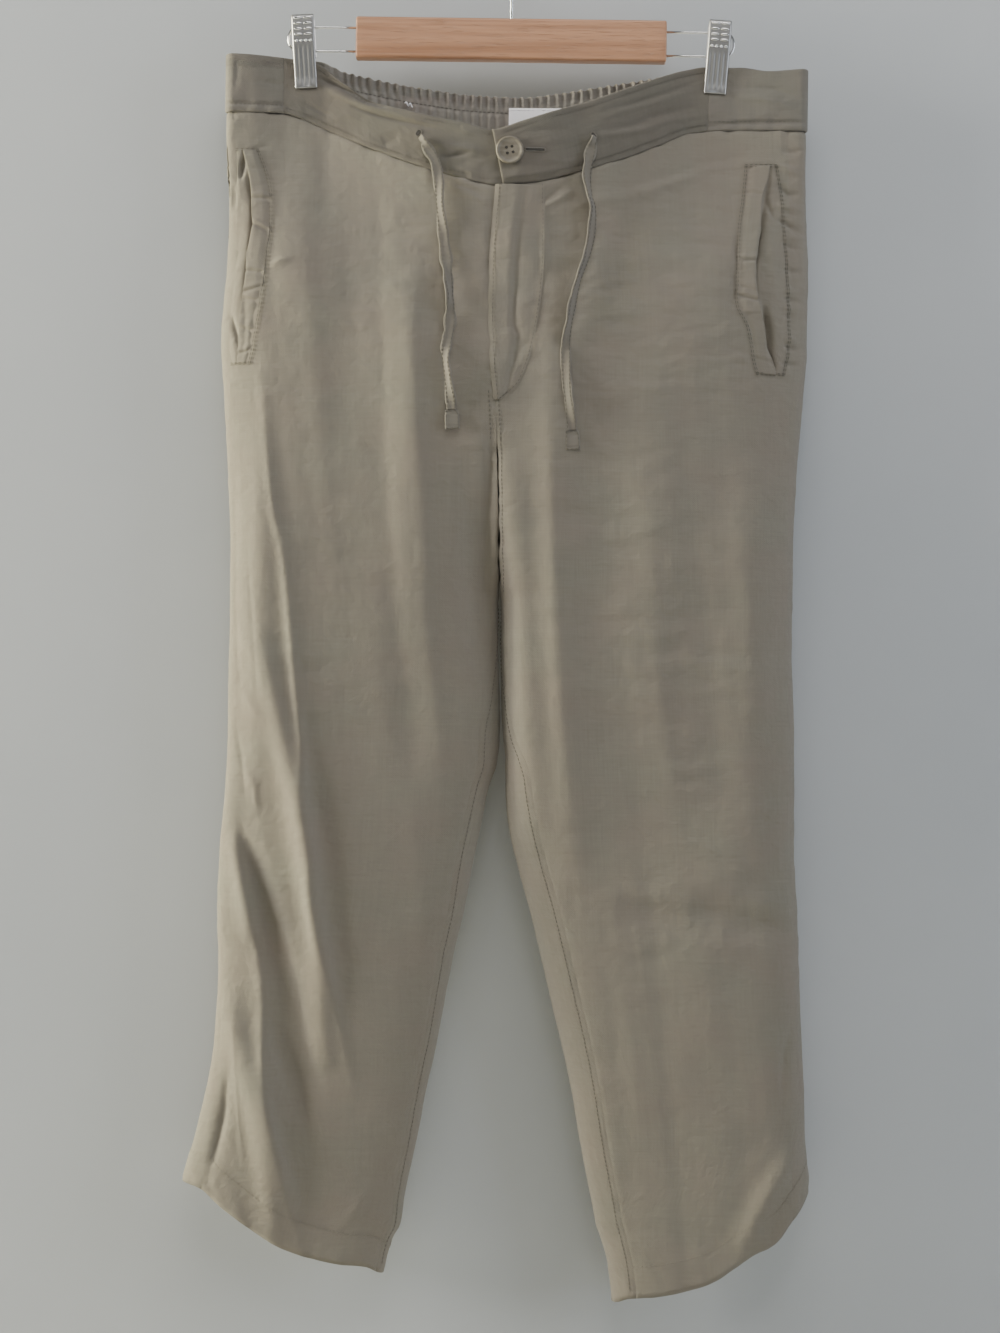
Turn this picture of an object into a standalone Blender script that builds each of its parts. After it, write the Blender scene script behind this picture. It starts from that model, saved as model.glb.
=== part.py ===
"""Linen drawstring trousers hanging from a wooden clip hanger.

The trousers are built from the pieces a maker would cut and sew: two front
and two back leg panels, a waistband in three pieces (two plain front ones and
an elastic back one), a fly, slanted side pockets, a button, drawcord ends and
labels.  Each piece is a separate solid.  Left and right are the wearer's, so
the wearer's right leg is at -X.  +Z is up and -Y is the front.  The origin is
where the hanger's hook rests on a rail.

Sizes are in millimetres up to the point where a mesh is made, which is in
metres.  The cloth's solids are walls: a computed outer surface, thickened
inwards.
"""

import math
from bisect import bisect_right
from collections import namedtuple

import bmesh
import bpy
from mathutils import Vector

MM = 0.001

# ---------------------------------------------------------------- sizes
SEAM_GAP = 0.3            # clearance between neighbouring pieces
WAIST_GAP = 0.5           # upright clearance under the waistband, whose seam slopes
PANEL_CLOTH = 1.2         # wall of the leg panels
HEM_CLOTH = 2.4           # wall where the hem is turned up
BAND_CLOTH = 2.6          # the waistband is cloth, stiffening and cloth
BAND_PROUD = 0.9          # its face stands out this far from the panels'
OVERLAP_LIFT = BAND_CLOTH + SEAM_GAP
LAID_CLOTH = 1.3          # pocket edges, fly and other pieces laid on a panel

CROTCH_LEVEL = -538.0
BACK_WAIST_LEVEL = -180.0
PANEL_ROWS = 25
CROTCH_ROW = 11
CROTCH_SHARE = CROTCH_ROW / PANEL_ROWS
FRONT_COLUMNS = 16
BACK_COLUMNS = 27
RING_STEP = 0.004         # step for slopes round a leg
BACK_START = 1.0 + 1e-6   # just past a leg's inner edge, on the back
WAIST_FADE = 0.20         # share of a panel's rows over which the waist's flat section opens out
SIDE_FOLD_RADIUS = 6.0    # how tightly the waistband folds at its two sides
SIDE_FOLD_CLEAR = 4.0     # the flat stretches stop this far from the side folds
SIDE_FOLD_STEPS = 6

RIGHT_BAND_SEAM = -181.0  # where the front waistband pieces meet the back one
LEFT_BAND_SEAM = 158.0
UNDERLAP_END = 28.0
RAMP_END = 60.0
GATHER_LEFT = 152.0       # the elastic's gathers run between these places
GATHER_RIGHT = -148.0
GATHER_COUNT = 44
GATHER_HEIGHT = 1.0
GATHER_THICK = 4.4
GATHER_THIN = 2.8
BACK_FOLD_PITCH = 33.0
BACK_FOLD_HEIGHT = 4.5
BACK_FOLD_FADE = 0.36

BAR_LENGTH, BAR_DEPTH, BAR_HEIGHT = 248.0, 13.0, 33.0
BAR_TOP = -75.0
BAR_EDGE = 1.6
LOOP_WIRE = 2.0
LOOP_UPPER, LOOP_LOWER = -83.0, -102.0
LOOP_END = 179.0
HOOK_WIRE = 2.6
HOOK_INNER_RADIUS = 17.0
HOOK_STEM = [(0, 0), (0, 17), (1, 23), (5, 31), (11, 39)]      # place and height over the bar
HOOK_ARC_START, HOOK_ARC_SWEEP = math.radians(-38), math.radians(242)
CLIP_PLACE = 165.5
CLIP_WIDTH = 18.0
CLIP_STEEL = 1.0
CLIP_TILT = math.radians(3.5)

BUTTON_DIAMETER, BUTTON_THICKNESS = 22.0, 3.2
BUTTON_RIM, BUTTON_DISH = 2.4, 0.9
BUTTON_HOLE_RADIUS, BUTTON_HOLE_SPREAD = 1.1, 3.2
BUTTON_PLACE = (0.0, -185.0)
CORD_WIDTH, CORD_THICKNESS = 8.8, 1.3

Half = namedtuple("Half", "name sign waist_side waist_centre crotch_side hem_side hem_inner")
RIGHT = Half("right", -1, -152.0, -211.0, -477.0, -1006.0, -1077.0)
LEFT = Half("left", 1, -161.0, -211.0, -479.0, -1008.0, -1097.0)


class Table:
    """A short table with named columns, read smoothly between rows by its first column."""

    def __init__(self, names, rows):
        self.names = names.split()
        self.rows = sorted(rows)
        self.keys = [row[0] for row in self.rows]

    def at(self, name, place):
        """The named column's value at a place, without overshoot between rows."""
        column = self.names.index(name)
        values = [row[column] for row in self.rows]
        if place <= self.keys[0]:
            return values[0]
        if place >= self.keys[-1]:
            return values[-1]
        low = bisect_right(self.keys, place) - 1
        step = self.keys[low + 1] - self.keys[low]
        share = (place - self.keys[low]) / step
        start, end = self.slope(values, low), self.slope(values, low + 1)
        return (
            values[low] * (1 + 2 * share) * (1 - share) ** 2
            + start * step * share * (1 - share) ** 2
            + values[low + 1] * share**2 * (3 - 2 * share)
            - end * step * share**2 * (1 - share)
        )

    def slope(self, values, index):
        """The slope through a row: none at a peak, else the mean of its sides."""
        if index in (0, len(values) - 1):
            return 0.0
        before = (values[index] - values[index - 1]) / (self.keys[index] - self.keys[index - 1])
        after = (values[index + 1] - values[index]) / (self.keys[index + 1] - self.keys[index])
        if before * after <= 0:
            return 0.0
        return 2 * before * after / (before + after)


# Distance of the hanging cloth's outer edge from the centre line, by level.
OUTER_EDGE = Table("level right left", [
    (-100, 227, 233), (-130, 227, 236), (-160, 227, 237), (-220, 224, 238),
    (-280, 225, 240), (-335, 228, 240), (-382, 225, 237), (-440, 222, 233),
    (-510, 219, 231), (-575, 219, 231), (-640, 219, 234), (-690, 220, 235),
    (-735, 224, 235), (-780, 225, 238), (-840, 224, 241), (-890, 226, 244),
    (-926, 231, 246), (-962, 239, 247), (-1008, 250, 250),
])
# Place of each leg's inner edge, from the crotch down.
INNER_EDGE = Table("level right left", [
    (-538, -3.3, -2.7), (-590, -2.6, -1.6), (-640, -1.4, 0.6), (-666, -3, 3.5),
    (-691, -10, 4), (-722, -16, 7.5), (-754, -22, 15), (-785, -27, 24),
    (-824, -36, 34), (-857, -42, 42), (-885, -47, 49), (-930, -56, 59),
    (-979, -65, 68), (-1015, -72, 76), (-1038, -75, 81), (-1052, -82, 86),
    (-1077, -88, 92), (-1097, -92, 94),
])
# The centre front seam bends under the fly.
CENTRE_FRONT = Table("level place", [
    (-211, -10), (-240, -12), (-275, -14), (-313, -14), (-355, -12),
    (-382, -9), (-440, -6), (-500, -4), (-538, -3),
])
# How far each face stands from the middle plane, by the level at the inner edge.
FACE_DEPTH = Table("level front back", [
    (-180, 23, 20), (-260, 26, 25), (-320, 29, 31), (-380, 30, 35), (-440, 29, 36),
    (-500, 28, 34), (-560, 27, 31), (-650, 25, 28), (-750, 23, 25), (-850, 22, 23),
    (-950, 21, 22), (-1080, 20, 21),
])
# How far the two faces have closed on each other at the centre seam.
CLOSING = Table("level front back", [
    (-538, 1, 1), (-525, 0.80, 0.85), (-505, 0.55, 0.58), (-480, 0.32, 0.33),
    (-450, 0.15, 0.14), (-415, 0.05, 0.04), (-370, 0, 0),
])
# Depth of the flat waist, pinched at the clips and bowed between them.
WAIST_DEPTH = Table("place front back", [
    (0, 22, 15), (60, 18.5, 13), (108, 10.5, 8.5), (134, 5, 5), (150, 2, 2),
    (177, 2, 2), (190, 3.6, 3.6), (208, 5.4, 5.4), (240, 6, 6),
])
# Share of a row's drop reached across it, from the outer edge to the inner.
WAIST_DROP = Table("across right left", [
    (0, 0, 0), (0.20, 0, 0), (0.27, 0.06, 0), (0.37, 0.22, 0.05), (0.48, 0.40, 0.28),
    (0.60, 0.58, 0.53), (0.75, 0.78, 0.78), (0.87, 0.91, 0.93), (1, 1, 1),
])
HEM_DROP = Table("across right left", [
    (0, 0, 0), (0.05, 0.02, 0.13), (0.10, 0.05, 0.25), (0.18, 0.20, 0.43),
    (0.29, 0.38, 0.53), (0.38, 0.52, 0.64), (0.50, 0.68, 0.78), (0.64, 0.79, 0.86),
    (0.78, 0.86, 0.91), (0.91, 0.90, 0.94), (1, 1, 1),
])
# Upper edge of the waistband across the body.
BAND_TOP = Table("place front back", [
    (-227, -106, -106), (-200, -107, -107), (-176, -109, -109), (-154, -113, -110),
    (-135, -127, -117), (-110, -144, -122), (-85, -151, -126), (-61, -157, -129),
    (-36, -162, -132), (-13, -168, -133), (8, -161.5, -133.5), (39, -151, -130),
    (71, -140, -125), (111, -124, -119), (140, -114, -114), (155, -111, -111),
    (183, -111, -111), (205, -114, -114), (236, -112, -112),
])
# How far the seams lie in from the silhouette, on the front.
OUTSEAM_INSET = Table("level right left", [
    (-150, 7, 15), (-350, 7, 14), (-430, 5, 8), (-560, 4, 5), (-880, 5, 4),
    (-926, 9, 6), (-955, 18, 12), (-1008, 17, 14),
])
INSEAM_INSET = Table("level right left", [
    (-538, 0, 0), (-560, 2, 0.6), (-590, 6, 1.5), (-620, 11, 6), (-650, 16, 10),
    (-686, 13, 20), (-740, 13.5, 23), (-860, 10.5, 23), (-1015, 8, 21),
    (-1077, 6, 19),
])
# Exponent of each leg's rounded section: higher is squarer.
LEG_SQUARENESS = {"right": 3.2, "left": 5.0}
BODY_SQUARENESS = 4.0

# Soft folds of the cloth: a crest (or a trough, if its height is negative)
# runs from its top to its foot and bows sideways in between.
Fold = namedtuple("Fold", "face top_x top_z foot_x foot_z bow width height")
FOLDS = [
    Fold("front", -80, -255, -76, -640, 3, 20, 4.0),
    Fold("front", -127, -175, -125, -440, 0, 20, -4.0),
    Fold("front", -193, -365, -190, -705, 3, 15, 4.5),
    Fold("front", -196, -560, -134, -915, -10, 10, 8.0),
    Fold("front", -215, -700, -146, -950, -4, 12, -7.0),
    Fold("front", -216, -725, -196, -815, -3, 8, 5.0),
    Fold("front", -221, -850, -172, -1055, -8, 11, 7.0),
    Fold("front", -187, -850, -152, -960, 0, 10, -4.5),
    Fold("front", 5, -420, 31, -740, 3, 13, 6.0),
    Fold("front", -30, -420, -14, -600, 0, 14, -5.0),
    Fold("front", 92, -781, 178, -793, 4, 9, -2.5),
    Fold("front", 150, -779, 236, -803, 4, 9, -3.0),
    Fold("front", 243, -965, 192, -1062, 4, 10, 4.0),
    Fold("front", 155, -190, 25, -232, -8, 9, 2.5),
    Fold("front", 120, -330, 128, -700, 5, 26, 3.0),
    Fold("front", 190, -420, 196, -760, -4, 18, 3.5),
    Fold("back", -150, -330, -120, -720, 8, 22, 5.0),
    Fold("back", 140, -330, 118, -760, -8, 22, 5.0),
    Fold("back", -60, -470, -95, -690, -6, 16, -4.0),
    Fold("back", 60, -470, 92, -690, 6, 16, -4.0),
    Fold("back", -205, -760, -120, -800, 4, 11, -4.0),
    Fold("back", 210, -780, 115, -815, 4, 11, -4.0),
    Fold("back", -190, -830, -160, -1040, -6, 14, 5.0),
    Fold("back", 190, -840, 165, -1060, 6, 14, 4.0),
]

# Side pockets: the edge of the mouth, the stitched line beside it and the far
# edge of the pocket bag, by level, on the front of each half.
POCKET_RIGHT = Table("level mouth stitching bag", [
    (-178, -213, -197.5, -217.5), (-198, -208.5, -193, -217), (-222, -204.5, -189.5, -217),
    (-245, -203.5, -189, -217.5), (-267, -206.5, -191, -217.5), (-289, -208, -193, -218),
    (-319, -211.5, -197, -219.5), (-343, -213, -201, -219.5), (-355, -213.5, -203.5, -218),
])
POCKET_LEFT = Table("level mouth stitching bag", [
    (-176, 208.5, 189.5, 210.5), (-197, 207, 188.5, 213), (-214, 202, 187, 216),
    (-241, 200, 183.5, 218), (-268, 196.5, 182, 220), (-285, 195.5, 181.5, 221),
    (-302, 198.5, 180.5, 222), (-318, 203, 188.5, 222.5), (-335, 205, 193, 222.5),
    (-350, 211, 195.5, 220.5), (-358, 213, 198, 219),
])
POCKET_ROWS = 10
POCKET_EDGE_LIFT = 0.8
POCKET_BAG_LIFT = 0.8
MOUTH_BULGE = 2.0         # the mouth's free edge stands away from the bag

# The fly's free edge lies over the centre front seam; its other side is the
# curved line of stitching.
FLY = Table("level stitching", [
    (-382, -4), (-377, 4), (-366, 11), (-348, 18), (-325, 23), (-300, 26.5),
    (-272, 28.5), (-235, 28.5), (-211, 27.5),
])
FLY_ROWS = 9
FLY_LIFT = 0.4

# Routes of the two free drawcord ends, from eyelet to end.
CORD_ROUTES = {
    "right": [
        (-73, -171), (-66, -182), (-59, -194), (-56, -209), (-54, -230), (-51, -257), (-47, -288),
        (-45, -319), (-48, -344), (-46, -364), (-44, -380), (-43, -391),
    ],
    "left": [
        (67, -172), (63, -188), (61, -204), (63, -219), (66, -230), (65, -250), (61, -269),
        (54, -290), (49, -316), (46, -337), (47, -365), (50, -389), (52, -406),
    ],
}
CORD_END_FOOT = {"right": (-42, -406), "left": (53, -421)}
CORD_END_WIDTH, CORD_END_THICKNESS = 11.5, 2.6
CORD_LIFT = 0.5

LABELS = {
    "label_main": (-1.0, 26.0, -142.5, -174.0),
    "label_size": (28.0, 43.0, -142.5, -158.0),
}
LABEL_CLOTH = 0.6

# Side view of a clip's jaw, as distances out from the middle plane by level,
# and the lug that carries it on the two wires.
JAW_OUTSIDE = [
    (9.4, -75.0), (10.4, -77.5), (9.6, -79.5), (10.6, -82.0), (9.8, -84.0), (10.8, -86.5),
    (9.9, -88.5), (10.8, -91.0), (9.6, -94.0), (8.9, -103.0), (6.6, -115.0), (4.7, -125.0),
    (4.9, -132.5),
]
JAW_INSIDE = [
    (3.4, -132.5), (3.4, -123.5), (5.4, -114.5), (7.6, -103.0), (8.3, -92.0), (8.2, -75.0),
]
LUG_BACK, LUG_FRONT, LUG_TOP, LUG_BOTTOM = 3.4, 5.0, -78.5, -107.5
JAW_SLOT = 1.9            # room for the wires, from the wire's middle
ROOM_TOP, ROOM_BACK = -70.0, 9.0          # how far the cutters reach past the lugs


# ---------------------------------------------------------------- arithmetic
def mix(start, end, share):
    """A value part of the way from start to end."""
    return start + (end - start) * share


def smooth(share):
    """Ease from 0 to 1, flat at both ends."""
    share = min(1.0, max(0.0, share))
    return share * share * (3 - 2 * share)


def samples(count):
    """Shares 0 to 1 in count steps."""
    return [index / count for index in range(count + 1)]


# ---------------------------------------------------------------- cloth surface
def row_levels(half, face, down):
    """Levels of a panel's row at its outer and inner ends."""
    centre = half.waist_centre if face == "front" else BACK_WAIST_LEVEL
    if down <= CROTCH_SHARE:
        share = down / CROTCH_SHARE
        return mix(half.waist_side, half.crotch_side, share), mix(centre, CROTCH_LEVEL, share)
    share = (down - CROTCH_SHARE) / (1 - CROTCH_SHARE)
    return mix(half.crotch_side, half.hem_side, share), mix(CROTCH_LEVEL, half.hem_inner, share)


def row_edges(half, face, down):
    """Places of a row's outer and inner ends across the body."""
    outer_level, inner_level = row_levels(half, face, down)
    outer = half.sign * OUTER_EDGE.at(half.name, outer_level)
    if inner_level < CROTCH_LEVEL:
        return outer, INNER_EDGE.at(half.name, inner_level)
    seam = CENTRE_FRONT.at("place", inner_level if face == "front" else CROTCH_LEVEL)
    return outer, seam + half.sign * SEAM_GAP


def row_drop(half, down, across):
    """Share of a row's drop at a place across it."""
    return mix(WAIST_DROP.at(half.name, across), HEM_DROP.at(half.name, across), down)


def waist_depth(half, face, place):
    """Distance of the flat waist's face from the middle plane."""
    edge = OUTER_EDGE.at(half.name, half.waist_side) - SIDE_FOLD_RADIUS
    beyond = min(1.0, max(0.0, (abs(place) - edge) / SIDE_FOLD_RADIUS))
    return WAIST_DEPTH.at(face, abs(place)) * math.sqrt(1 - beyond**2)


def fold_height(face, place, level):
    """Sum of the soft folds' heights at a place on a face."""
    total = 0.0
    for fold in FOLDS:
        if fold.face != face:
            continue
        run = Vector((fold.foot_x - fold.top_x, fold.foot_z - fold.top_z))
        offset = Vector((place - fold.top_x, level - fold.top_z))
        along = offset.dot(run) / run.length_squared
        if not 0 < along < 1:
            continue
        aside = (offset.x * run.y - offset.y * run.x) / run.length - 4 * fold.bow * along * (1 - along)
        fade = math.sin(math.pi * along) ** 0.7
        total += fold.height * fade * math.exp(-((aside / fold.width) ** 2))
    return total


def back_gather_height(place, down):
    """Folds that run down from the elastic and fade over the seat."""
    share = down / BACK_FOLD_FADE
    if share >= 1 or abs(place) > GATHER_LEFT:
        return 0.0
    edge = (1 - smooth((abs(place) - 125) / 25)) * smooth(abs(place + 3) / 15)
    height = BACK_FOLD_HEIGHT * min(1.0, 6 * share + 0.15) * (1 - share) ** 1.5 * edge
    phase = 2 * math.pi * place / BACK_FOLD_PITCH + 0.9 * math.sin(place / 23)
    return height * math.cos(phase)


def cloth_point(half, face, down, turn):
    """A point on the trousers' outer surface: turn runs 0 to 1 from a leg's outer edge to its inner."""
    outer_level, inner_level = row_levels(half, face, down)
    outer, inner = row_edges(half, face, down)
    across = (1 - math.cos(math.pi * turn)) / 2
    body = math.sqrt(max(0.0, 1 - (1 - across) ** BODY_SQUARENESS))
    leg = math.sqrt(max(0.0, 1 - abs(2 * across - 1) ** LEG_SQUARENESS[half.name]))
    full = mix(body, leg, CLOSING.at(face, inner_level))
    place = mix(outer, inner, across)
    level = mix(outer_level, inner_level, row_drop(half, down, across))
    opened = smooth(down / WAIST_FADE)
    depth = mix(waist_depth(half, face, place), FACE_DEPTH.at(face, inner_level) * full, opened)
    depth += fold_height(face, place, level) * min(1.0, 1.4 * full) * opened
    if face == "back":
        depth += back_gather_height(place, down) * min(1.0, 2 * full)
    return Vector((place, -depth if face == "front" else depth, level))


def turn_at_inset(width, inset):
    """The turn whose place lies inset from the outer edge of a row of that width."""
    return math.acos(1 - 2 * min(0.5, inset / width)) / math.pi


def panel_turns(half, face, down):
    """Where a panel's row starts and ends round the leg; both seams lie on the front."""
    outer_level, inner_level = row_levels(half, "front", down)
    outer, inner = row_edges(half, "front", down)
    width = abs(outer - inner)
    gap = SEAM_GAP if face == "front" else 0.0
    outseam = turn_at_inset(width, OUTSEAM_INSET.at(half.name, outer_level) + gap)
    inset = gap * CLOSING.at("front", inner_level)
    if down > CROTCH_SHARE:
        inset += INSEAM_INSET.at(half.name, inner_level)
    inseam = 1 - turn_at_inset(width, inset)
    if face == "front":
        return outseam, inseam
    return (inseam if down > CROTCH_SHARE else BACK_START), 2 + outseam


def ring_point(half, down, turn):
    """A point round the whole leg: 0 to 1 over the front, 1 to 2 over the back, then the front again."""
    turn %= 2
    if turn <= 1:
        return cloth_point(half, "front", down, turn)
    return cloth_point(half, "back", down, 2 - turn)


def ring_outward(half, down, turn, face):
    """The level direction that faces out of the leg at a point round it."""
    before, after = turn - RING_STEP, turn + RING_STEP
    open_seam = down < CROTCH_SHARE
    if open_seam and face == "front":
        after = min(after, 1.0)
    if open_seam and face == "back":
        before = max(before, BACK_START)
    run = ring_point(half, down, after) - ring_point(half, down, before)
    outward = Vector((-run.y, run.x, 0)) * half.sign
    at_seam = abs(turn - 1) < RING_STEP
    if open_seam and at_seam and outward.x * half.sign > 0:
        outward.x = 0.0
    return outward.normalized()


def panel_row(half, face, down, columns, cloth):
    """Outer and inner points of one row of a panel, evenly spaced along the cloth."""
    start, end = panel_turns(half, face, down)
    turns = [mix(start, end, share) for share in samples(6 * columns)]
    fine = [ring_point(half, down, turn) for turn in turns]
    lengths = [0.0]
    for before, after in zip(fine, fine[1:]):
        lengths.append(lengths[-1] + (after - before).length)
    outer_row, inner_row = [], []
    for share in samples(columns):
        wanted = share * lengths[-1]
        low = min(len(fine) - 2, bisect_right(lengths, wanted) - 1)
        inside = (wanted - lengths[low]) / (lengths[low + 1] - lengths[low])
        turn = mix(turns[low], turns[low + 1], inside)
        point = ring_point(half, down, turn)
        outer_row.append(point)
        inner_row.append(point - ring_outward(half, down, turn, face) * cloth)
    return outer_row, inner_row


def seam_level(face, place):
    """Level of the seam between waistband and panels."""
    half = LEFT if place > CENTRE_FRONT.at("place", RIGHT.waist_centre) else RIGHT
    outer, inner = row_edges(half, face, 0.0)
    across = min(1.0, max(0.0, (place - outer) / (inner - outer)))
    outer_level, inner_level = row_levels(half, face, 0.0)
    return mix(outer_level, inner_level, row_drop(half, 0.0, across))


def front_depth(place, level):
    """Depth of the front, panels or waistband, at a place seen from the front."""
    half = LEFT if place > CENTRE_FRONT.at("place", level) else RIGHT
    if level >= seam_level("front", place):
        return waist_depth(half, "front", place)
    low, high = 0.0, 1.0
    for _ in range(24):
        down = (low + high) / 2
        outer, inner = row_edges(half, "front", down)
        across = min(1.0, max(0.0, (place - outer) / (inner - outer)))
        outer_level, inner_level = row_levels(half, "front", down)
        if mix(outer_level, inner_level, row_drop(half, down, across)) > level:
            low = down
        else:
            high = down
    turn = math.acos(1 - 2 * across) / math.pi
    return -cloth_point(half, "front", down, turn).y


def laid_point(place, level, lift):
    """A point on the front panels, moved out along the surface's normal."""
    step = 1.0
    depth = front_depth(place, level)
    across = (front_depth(place + step, level) - front_depth(place - step, level)) / (2 * step)
    upward = (front_depth(place, level + step) - front_depth(place, level - step)) / (2 * step)
    outward = Vector((-across, -1.0, -upward)).normalized()
    return Vector((place, -depth, level)) + outward * lift


# ---------------------------------------------------------------- making solids
def new_object(name, mesh, finish):
    """Link a named object with its material."""
    thing = bpy.data.objects.new(name, mesh)
    mesh.materials.clear()
    mesh.materials.append(finish)
    GARMENT.objects.link(thing)
    return thing


def grid_of(shape, rows):
    """Add a grid whose vertices lie on rows of points."""
    made = bmesh.ops.create_grid(
        shape, x_segments=len(rows[0]) - 1, y_segments=len(rows) - 1, size=0.5
    )["verts"]
    for vertex, point in zip(made, [point for row in rows for point in row]):
        vertex.co = point * MM
    return made


def rim_order(rows):
    """Indices of a grid's vertices round its edge."""
    across, down = len(rows[0]), len(rows)
    order = list(range(across))
    order += [row * across + across - 1 for row in range(1, down)]
    order += [(down - 1) * across + column for column in range(across - 2, -1, -1)]
    order += [row * across for row in range(down - 2, 0, -1)]
    return order


def lofted_wall(name, outer_rows, inner_rows, finish):
    """A closed wall between rows of outer points and rows of inner points."""
    shape = bmesh.new()
    outer = grid_of(shape, outer_rows)
    inner = grid_of(shape, inner_rows)
    order = rim_order(outer_rows)
    for here, there in zip(order, order[1:] + order[:1]):
        shape.faces.new((outer[here], outer[there], inner[there], inner[here]))
    bmesh.ops.recalc_face_normals(shape, faces=shape.faces)
    mesh = bpy.data.meshes.new(name)
    shape.to_mesh(mesh)
    shape.free()
    mesh.shade_smooth()
    mesh.set_sharp_from_angle(angle=math.radians(50))
    return new_object(name, mesh, finish)


def laid_wall(name, rows, cloth, finish):
    """A strip of cloth on the front, through rows of outer points from right to left."""
    shape = bmesh.new()
    grid_of(shape, rows)
    shape.normal_update()
    if sum(face.normal.y for face in shape.faces) > 0:
        bmesh.ops.reverse_faces(shape, faces=shape.faces)
    mesh = bpy.data.meshes.new(name)
    shape.to_mesh(mesh)
    shape.free()
    mesh.shade_smooth()
    wall = new_object(name, mesh, finish)
    thicken = wall.modifiers.new("cloth", "SOLIDIFY")
    thicken.thickness = cloth * MM
    thicken.offset = -1.0
    return wall


def extruded(name, outline, width, finish=None):
    """A solid with a side view in the YZ plane, extruded across X about the middle."""
    shape = bmesh.new()
    ring = [shape.verts.new(Vector((-width / 2, y, z)) * MM) for y, z in outline]
    face = shape.faces.new(ring)
    far = bmesh.ops.extrude_face_region(shape, geom=[face])["geom"]
    moved = [item for item in far if isinstance(item, bmesh.types.BMVert)]
    bmesh.ops.translate(shape, verts=moved, vec=(width * MM, 0, 0))
    bmesh.ops.recalc_face_normals(shape, faces=shape.faces)
    mesh = bpy.data.meshes.new(name)
    shape.to_mesh(mesh)
    shape.free()
    if finish is None:
        return as_cutter(bpy.data.objects.new(name, mesh))
    return new_object(name, mesh, finish)


def as_cutter(thing):
    """Keep a cutting shape out of the object itself."""
    thing.hide_render = True
    thing.display_type = "WIRE"
    CUTTERS.objects.link(thing)
    return thing


def rod_cutter(name, radius, length, centre, turned):
    """A round cutter: turned gives the rotation of its Z axis."""
    shape = bmesh.new()
    bmesh.ops.create_cone(
        shape, cap_ends=True, segments=12, radius1=radius * MM, radius2=radius * MM, depth=length * MM
    )
    mesh = bpy.data.meshes.new(name)
    shape.to_mesh(mesh)
    shape.free()
    cutter = bpy.data.objects.new(name, mesh)
    cutter.location = Vector(centre) * MM
    cutter.rotation_euler = turned
    return as_cutter(cutter)


def cut(thing, cutter):
    """Take a cutter's shape out of an object."""
    modifier = thing.modifiers.new("cut", "BOOLEAN")
    modifier.operation = "DIFFERENCE"
    modifier.object = cutter


def wire(name, route, thickness, finish):
    """A round wire through points in one polyline."""
    curve = bpy.data.curves.new(name, "CURVE")
    curve.dimensions = "3D"
    curve.bevel_depth = thickness / 2 * MM
    curve.bevel_resolution = 2
    curve.use_fill_caps = True
    spline = curve.splines.new("POLY")
    spline.points.add(len(route) - 1)
    for point, place in zip(spline.points, route):
        point.co = (*(Vector(place) * MM), 1.0)
    curve.materials.append(finish)
    thing = bpy.data.objects.new(name, curve)
    GARMENT.objects.link(thing)
    return thing


def plain_material(name, colour, roughness, metallic=0.0):
    """A plain material."""
    material = bpy.data.materials.new(name)
    material.use_nodes = True
    shader = material.node_tree.nodes["Principled BSDF"]
    shader.inputs["Base Color"].default_value = (*colour, 1.0)
    shader.inputs["Roughness"].default_value = roughness
    shader.inputs["Metallic"].default_value = metallic
    return material


# ---------------------------------------------------------------- trousers
def make_panels():
    """The four leg panels, thicker where the hem is turned up."""
    for half in (RIGHT, LEFT):
        for face, columns in (("front", FRONT_COLUMNS), ("back", BACK_COLUMNS)):
            outer_rows, inner_rows = [], []
            for down in samples(PANEL_ROWS):
                cloth = HEM_CLOTH if down == 1 else PANEL_CLOTH
                outer_row, inner_row = panel_row(half, face, down, columns, cloth)
                outer_rows.append(outer_row)
                inner_rows.append(inner_row)
            lofted_wall(f"{face}_{half.name}_leg", outer_rows, inner_rows, LINEN)


def band_lift(name, place):
    """How far a waistband piece's face stands out from the panels' face."""
    if name != "waistband_front_left":
        return BAND_PROUD
    return BAND_PROUD + OVERLAP_LIFT * (1 - smooth((place - UNDERLAP_END) / (RAMP_END - UNDERLAP_END)))


def band_section(face, place, up, lift, cloth):
    """Outer and inner points of the waistband: up runs from its seam to its upper edge."""
    half = LEFT if place > 0 else RIGHT
    level = mix(seam_level(face, place) + WAIST_GAP, BAND_TOP.at(face, place), up)
    step = 0.5
    slope = (waist_depth(half, face, place + step) - waist_depth(half, face, place - step)) / (2 * step)
    toward = -1 if face == "front" else 1
    face_point = Vector((place, toward * waist_depth(half, face, place), level))
    outward = Vector((-slope, toward, 0)).normalized()
    return face_point + outward * lift, face_point + outward * (lift - cloth)


def side_fold_section(half, turned, up):
    """Outer and inner points round the waistband's side fold: turned is 0 at the front, 1 at the back."""
    face = "front" if turned < 0.5 else "back"
    edge = OUTER_EDGE.at(half.name, half.waist_side) - SIDE_FOLD_RADIUS
    level = mix(half.waist_side + WAIST_GAP, BAND_TOP.at(face, half.sign * (edge + SIDE_FOLD_RADIUS)), up)
    flat = WAIST_DEPTH.at(face, edge)
    angle = turned * math.pi
    pair = []
    for lift in (BAND_PROUD, BAND_PROUD - BAND_CLOTH):
        place = half.sign * (edge + (SIDE_FOLD_RADIUS + lift) * math.sin(angle))
        pair.append(Vector((place, -(flat + lift) * math.cos(angle), level)))
    return pair


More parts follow.
